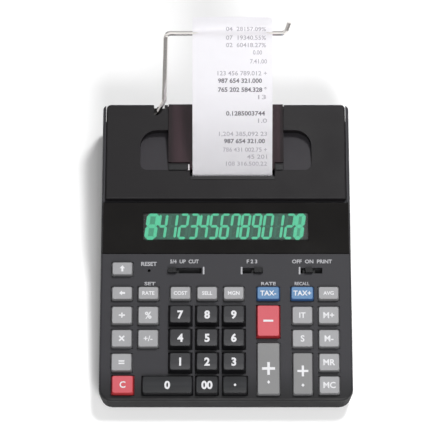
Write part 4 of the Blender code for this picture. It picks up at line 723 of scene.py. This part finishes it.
# A place on the strip: across in metres from its middle, along in metres from the roll
def onStrip(across, along, lift=0.0):
    share = min(max(along / stripLength, 0.0), 1.0) * paper["rows"]
    index = min(int(share), paper["rows"] - 1)
    point = spine[index].lerp(spine[index + 1], share - index)
    way = (spine[index + 1] - spine[index]).normalized()
    free = max(0.0, (along - paper["held"]) / (stripLength - paper["held"]))
    sag = paper["curl"] * free * (across / paper["half"]) ** 2
    normal = Vector((-way.y, way.x))
    place = point + normal * (lift - sag)
    return Vector((paper["middle"] + across, place.x, place.y))


def makeStrip():
    work = bmesh.new()
    grid = []
    for row in range(paper["rows"] + 1):
        along = stripLength * row / paper["rows"]
        line = []
        for column in range(paper["columns"] + 1):
            across = paper["half"] * (2.0 * column / paper["columns"] - 1.0)
            cut = paper["tooth"] if row == paper["rows"] and column % 2 else 0.0
            line.append(work.verts.new(onStrip(across, along - cut)))
        grid.append(line)
    for low, high in zip(grid, grid[1:]):
        for a, b, c, d in zip(low, low[1:], high[1:], high):
            work.faces.new((a, b, c, d))
    bmesh.ops.solidify(work, geom=work.faces[:], thickness=paper["thick"])
    strip = addPiece("printed_strip", meshOf(work, "printed_strip"), materials["paper"],
                     smooth=True)
    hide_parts("paper_strip")
    return strip


# Rows of the tape: photo height, left and right pixel, words, ink
tapeRows = (
    (28.6, 226.0, 266.0, "04  28157.09%", "faint"), (37.0, 226.0, 266.0, "07  19340.55%", "faint"),
    (44.6, 226.0, 266.0, "02  60418.27%", "faint"), (53.0, 253.0, 262.0, "0.00", "faint"),
    (60.7, 250.0, 267.0, "7.41.00", "faint"), (73.2, 217.5, 267.0, "123 456 789.012 +", "faint"),
    (81.3, 218.0, 262.0, "987 654 321.000", "ink"), (89.3, 218.0, 267.0, "765 202 584.328 *", "ink"),
    (97.0, 258.0, 266.0, "13", "faint"), (112.8, 226.0, 265.0, "0.1285003744", "ink"),
    (120.7, 258.0, 267.0, "1.0", "faint"), (133.0, 219.0, 267.0, "1,204 385,092 23", "faint"),
    (141.4, 224.0, 265.0, "987 654 321.00", "ink"), (149.0, 223.0, 267.0, "786 431 002.75 +", "faint"),
    (157.0, 247.0, 267.0, "45 201", "faint"), (163.8, 226.0, 267.0, "108 316.500.22", "faint"))


tape = {"height": 0.0031, "ink": 0.040, "faint": 0.022, "lift": 0.00003, "startZ": 0.047}


def makeTapeRows():
    lift = paper["thick"] / 2 + tape["lift"]
    heights = [photoHeight((0.0, point.x, point.y)) for point in spine]
    start = next(i for i, point in enumerate(spine) if point.y > tape["startZ"])
    for index, (pixel, left, right, words, ink) in enumerate(tapeRows):
        near = min(range(start, len(spine)), key=lambda i: abs(heights[i] - pixel))
        along = stripLength * near / paper["rows"]
        work = textShape(words, tape["height"], tape[ink], "RIGHT")
        xs = [vert.co.x for vert in work.verts]
        place = (0.0, spine[near].x, spine[near].y)
        squeeze = (right - left) * perPixel(place) / (max(xs) - min(xs))
        edge = pixelX(right, place) - paper["middle"]
        for vert in work.verts:
            vert.co = onStrip(edge + vert.co.x * squeeze, along + vert.co.y, lift)
        row = addPiece(f"tape_row_{index:02d}", meshOf(work, "tape_row"), materials[ink])
        tapePieces.append(row)


tapePieces = []
strip = makeStrip()
makeTapeRows()
for piece in (strip, *tapePieces):
    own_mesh(piece)
print("stage: paper")


# Turned details, with the axis along X
def turned(name, profilePoints, centre, steps):
    work = bmesh.new()
    rings = []
    for step in range(steps):
        angle = 2.0 * math.pi * step / steps
        ring = []
        for radius, height in profilePoints:
            ring.append(work.verts.new((radius * math.cos(angle), radius * math.sin(angle), height)))
        rings.append(ring)
    count = len(profilePoints)
    for step in range(steps):
        here, there = rings[step], rings[(step + 1) % steps]
        for i in range(count - 1):
            work.faces.new((here[i], there[i], there[i + 1], here[i + 1]))
    bmesh.ops.remove_doubles(work, verts=work.verts, dist=0.000001)
    turn = Matrix.Rotation(math.radians(90.0), 4, "Y")
    bmesh.ops.transform(work, matrix=Matrix.Translation(centre) @ turn, verts=work.verts)
    bmesh.ops.recalc_face_normals(work, faces=work.faces)
    return meshOf(work, name)


def blockMesh(name, low, high, matrix, ease=0.0002):
    work = bmesh.new()
    bmesh.ops.create_cube(work, size=1.0)
    size = Vector(high) - Vector(low)
    bmesh.ops.scale(work, vec=size, verts=work.verts)
    bmesh.ops.translate(work, vec=(Vector(high) + Vector(low)) / 2, verts=work.verts)
    bmesh.ops.bevel(work, geom=work.edges[:], offset=ease, segments=2, affect="EDGES")
    bmesh.ops.transform(work, matrix=matrix, verts=work.verts)
    return meshOf(work, name)


rollLook = {"inner": 0.0050, "outer": 0.0061, "inset": 0.0002, "steps": 40,
            "colour": (0.82, 0.82, 0.84), "ringPitch": 0.00045}


def makeRollCore():
    low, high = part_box("paper_roll")
    middle = (low + high) / 2
    half = (high.x - low.x) / 2 - rollLook["inset"]
    inner, outer = rollLook["inner"], rollLook["outer"]
    ring = [(inner, -half), (outer, -half), (outer, half), (inner, half), (inner, -half)]
    mesh = turned("roll_core", ring, middle, rollLook["steps"])
    addPiece("roll_core", mesh, materials["card"], "roll", smooth=True)
    return (middle.y, middle.z)


rollCentre = makeRollCore()
materials["roll"] = woundPaper("roll_paper", rollLook["colour"], rollCentre, rollLook["ringPitch"])

# Small black lugs at the lid's front corners, and the bright end of the paper spring
lugs = {"depth": 0.0040, "front": 0.0212, "lift": 0.0011, "sunk": 0.0003}
springEnd = {"left": -0.0270, "right": -0.0260, "ahead": 0.0004, "behind": 0.0042, "low": 0.0002,
             "above": 0.0004}


def makeLugs():
    for name, left, right in (("lug_left", -0.0408, -0.0276), ("lug_right", 0.0356, 0.0408)):
        mesh = blockMesh(name, (left, lugs["front"], -lugs["sunk"]),
                         (right, lugs["front"] + lugs["depth"], lugs["lift"]), coverPlane)
        addPiece(name, mesh, materials["knob"], smooth=True)
    front, back = lugs["front"] - springEnd["ahead"], lugs["front"] + springEnd["behind"]
    mesh = blockMesh("paper_spring", (springEnd["left"], front, springEnd["low"]),
                     (springEnd["right"], back, lugs["lift"] + springEnd["above"]), coverPlane)
    addPiece("paper_spring", mesh, materials["clip"], smooth=True)


makeLugs()

# Floors of the two finger scoops, a touch lighter than the cover: painted light, as the floors tilt
# towards the lamps
scoops = {"inner": 0.0416, "outer": 0.0614, "front": 0.0215, "rear": 0.0513, "fall": 0.2333,
          "rearRadius": 0.0119, "frontRadius": 0.0049, "lift": 0.00005, "steps": 10}


def makeScoops():
    outline = [(scoops["inner"], scoops["front"])]
    corners = ((scoops["front"], scoops["frontRadius"], 1.0, -90.0),
               (scoops["rear"], scoops["rearRadius"], -1.0, 0.0))
    for edge, radius, inward, start in corners:
        centre = Vector((scoops["outer"] - radius, edge + inward * radius))
        for step in range(scoops["steps"] + 1):
            angle = math.radians(start + 90.0 * step / scoops["steps"])
            outline.append(tuple(centre + Vector((math.cos(angle), math.sin(angle))) * radius))
    outline.append((scoops["inner"], scoops["rear"]))
    for name, side in (("scoop_floor_left", -1.0), ("scoop_floor_right", 1.0)):
        shape = [(side * x, y) for x, y in outline]
        work = flatShapes([shape if side > 0.0 else shape[::-1]])
        for vert in work.verts:
            vert.co.z = (scoops["front"] - vert.co.y) * scoops["fall"]
        addPiece(name, onPlane(work, coverPlane, scoops["lift"], name), materials["scoop"])


makeScoops()

# Case screws by Geometry Nodes: one screw head instanced on the four bores
screws = {"headRadius": 0.0022, "headHeight": 0.0013, "slotWidth": 0.0006, "slotDepth": 0.0006,
          "x": 0.0846, "rearX": 0.0760, "frontY": 0.0185, "rearY": 0.1940, "top": 0.0047,
          "sunk": 0.0004, "sides": 28, "slotLength": 0.0028, "cutHeight": 0.0012}


def screwTree(material):
    tree = bpy.data.node_groups.new("case_screws", "GeometryNodeTree")
    tree.interface.new_socket("Geometry", in_out="INPUT", socket_type="NodeSocketGeometry")
    tree.interface.new_socket("Head radius", in_out="INPUT", socket_type="NodeSocketFloat")
    tree.interface.new_socket("Geometry", in_out="OUTPUT", socket_type="NodeSocketGeometry")
    add = tree.nodes.new
    link = tree.links.new
    inside = add("NodeGroupInput")
    outside = add("NodeGroupOutput")
    head = add("GeometryNodeMeshCylinder")
    head.inputs["Vertices"].default_value = screws["sides"]
    head.inputs["Depth"].default_value = screws["headHeight"]
    link(inside.outputs["Head radius"], head.inputs["Radius"])
    cut = add("GeometryNodeMeshBoolean")
    cut.operation = "DIFFERENCE"
    link(head.outputs["Mesh"], cut.inputs[0])
    width, length, height = screws["slotWidth"], screws["slotLength"], screws["cutHeight"]
    for size in ((width, length, height), (length, width, height)):
        cube = add("GeometryNodeMeshCube")
        cube.inputs["Size"].default_value = size
        move = add("GeometryNodeTransform")
        drop = -(screws["headHeight"] / 2 + height / 2 - screws["slotDepth"])
        move.inputs["Translation"].default_value = (0.0, 0.0, drop)
        link(cube.outputs["Mesh"], move.inputs["Geometry"])
        link(move.outputs["Geometry"], cut.inputs[1])
    spread = add("GeometryNodeInstanceOnPoints")
    link(inside.outputs["Geometry"], spread.inputs["Points"])
    link(cut.outputs["Mesh"], spread.inputs["Instance"])
    real = add("GeometryNodeRealizeInstances")
    link(spread.outputs["Instances"], real.inputs["Geometry"])
    paint = add("GeometryNodeSetMaterial")
    paint.inputs["Material"].default_value = material
    link(real.outputs["Geometry"], paint.inputs["Geometry"])
    link(paint.outputs["Geometry"], outside.inputs["Geometry"])
    return tree


def makeScrews():
    z = screws["top"] - screws["sunk"]
    places = [(side * screws["x"], bodyFront + screws["frontY"], z) for side in (-1, 1)]
    places += [(side * screws["rearX"], bodyFront + screws["rearY"], z) for side in (-1, 1)]
    seed = bpy.data.meshes.new("screw_places")
    seed.from_pydata(places, [], [])
    holder = bpy.data.objects.new("screw_places", seed)
    bpy.context.scene.collection.objects.link(holder)
    tree = screwTree(materials["zinc"])
    modifier = holder.modifiers.new("screws", "NODES")
    modifier.node_group = tree
    for item in tree.interface.items_tree:
        if item.in_out == "INPUT" and item.name == "Head radius":
            modifier[item.identifier] = screws["headRadius"]
    bpy.context.view_layer.update()
    depsgraph = bpy.context.evaluated_depsgraph_get()
    mesh = bpy.data.meshes.new_from_object(holder.evaluated_get(depsgraph))
    bpy.data.objects.remove(holder, do_unlink=True)
    addPiece("case_screws", mesh, materials["zinc"], smooth=True)


makeScrews()
print("stage: small parts")

# Better materials on the CAD nodes
nodeFinish = {
    "upper_case": "deck", "lower_case": "base", "printer_cover": "cover", "paper_lid": "smoke",
    "tear_bar": "steel", "platen_roller": "platen", "platen_gear": "gear", "motor_pinion": "gear",
    "print_head": "aluminium", "feed_motor": "aluminium", "printer_chassis": "chassis",
    "paper_roll": "roll", "paper_arm": "chrome", "key_mat": "silicone", "main_board": "board",
    "power_jack": "chassis", "rubber_foot_front": "foot", "rubber_foot_rear": "foot",
    "rounding_switch": "knob", "decimal_switch": "knob", "print_switch": "knob",
    "display_panel": "glass", "key_minus": "red", "key_clear": "red", "key_tax_minus": "blue",
    "key_tax_plus": "blue", "key_0": "zero", "key_00": "zero", "key_point": "zero",
    "key_plus": "operator", "key_total": "operator",
}


windowLook = {"colour": (0.0028, 0.0022, 0.0019), "margin": 0.0006, "halfWide": 0.0590, "veil": 0.12}


def dressNodes():
    reach = display["halfHigh"] + windowLook["margin"]
    lowY = (bandPlane @ Vector((0.0, display["middle"] - reach, 0.0))).y
    highY = (bandPlane @ Vector((0.0, display["middle"] + reach, 0.0))).y
    clear = (windowLook["halfWide"], lowY, highY)
    materials["window"] = windowMaterial("window_gloss", {**windowLook, "clear": clear})
    nodeFinish["display_window"] = "window"
    for name, node in nodes.items():
        if name == "paper_strip":
            continue
        key = nodeFinish.get(name)
        if key is None:
            key = "digit" if name[4:] in set("123456789") else "grey"
        node.data.materials.clear()
        node.data.materials.append(materials[key])


dressNodes()
print("stage: nodes dressed")


# Plain studio: pale floor, soft lamps from behind and in front on the right, white all round
studio = {"floor": 0.90, "floorGlow": 0.08, "floorSize": 6.0, "ambient": 0.27, "zenith": 1.0,
          "horizon": 0.32, "behind": 1.2, "drop": 0.0002}
lamps = {"key": ((0.44, 0.72, 1.55), 0.34, 18.5), "fill": ((0.30, -1.35, 1.45), 0.9, 28.0)}


def makeStudio():
    work = bmesh.new()
    bmesh.ops.create_grid(work, x_segments=1, y_segments=1, size=studio["floorSize"])
    bmesh.ops.translate(work, vec=(0.0, 0.0, -studio["drop"]), verts=work.verts)
    floor = bpy.data.objects.new("floor", meshOf(work, "floor"))
    bpy.context.scene.collection.objects.link(floor)
    material, shader, field = newMaterial("floor_paper", {"fixed": {"Roughness": 0.9,
                                                                    "Specular IOR Level": 0.0,
                                                                    "Emission Strength": 1.0}})
    shader.inputs["Base Color"].default_value = grey(studio["floor"])
    seen = field.call("ShaderNodeLightPath", output="Is Camera Ray")
    field.plug(shader.inputs["Emission Color"], seen.mix(grey(0.0), grey(studio["floorGlow"])))
    floor.data.materials.append(material)
    for name, (place, size, power) in lamps.items():
        lamp = bpy.data.lights.new(name, "AREA")
        lamp.shape = "DISK"
        lamp.size = size
        lamp.energy = power
        holder = bpy.data.objects.new(name, lamp)
        bpy.context.scene.collection.objects.link(holder)
        holder.location = place
        holder.rotation_euler = Vector(place).to_track_quat("Z", "Y").to_euler()
    world = bpy.data.worlds.new("studio")
    bpy.context.scene.world = world
    world.use_nodes = True
    backdrop = world.node_tree.nodes["Background"]
    backdrop.inputs["Strength"].default_value = 1.0
    field = Field(world.node_tree)
    seen = field.call("ShaderNodeLightPath", output="Is Camera Ray")
    mirrored = field.call("ShaderNodeLightPath", output="Is Glossy Ray")
    height = field.call("ShaderNodeTexCoord", output="Generated").axis("Z")
    sky = height.clip(0.15, 0.85).mix(grey(studio["horizon"]), grey(studio["zenith"]))
    around = mirrored.mix(grey(studio["ambient"]), sky)
    field.plug(backdrop.inputs["Color"], seen.mix(around, grey(studio["behind"])))
    bpy.context.scene.view_settings.view_transform = "Standard"


makeStudio()
print("stage: studio")
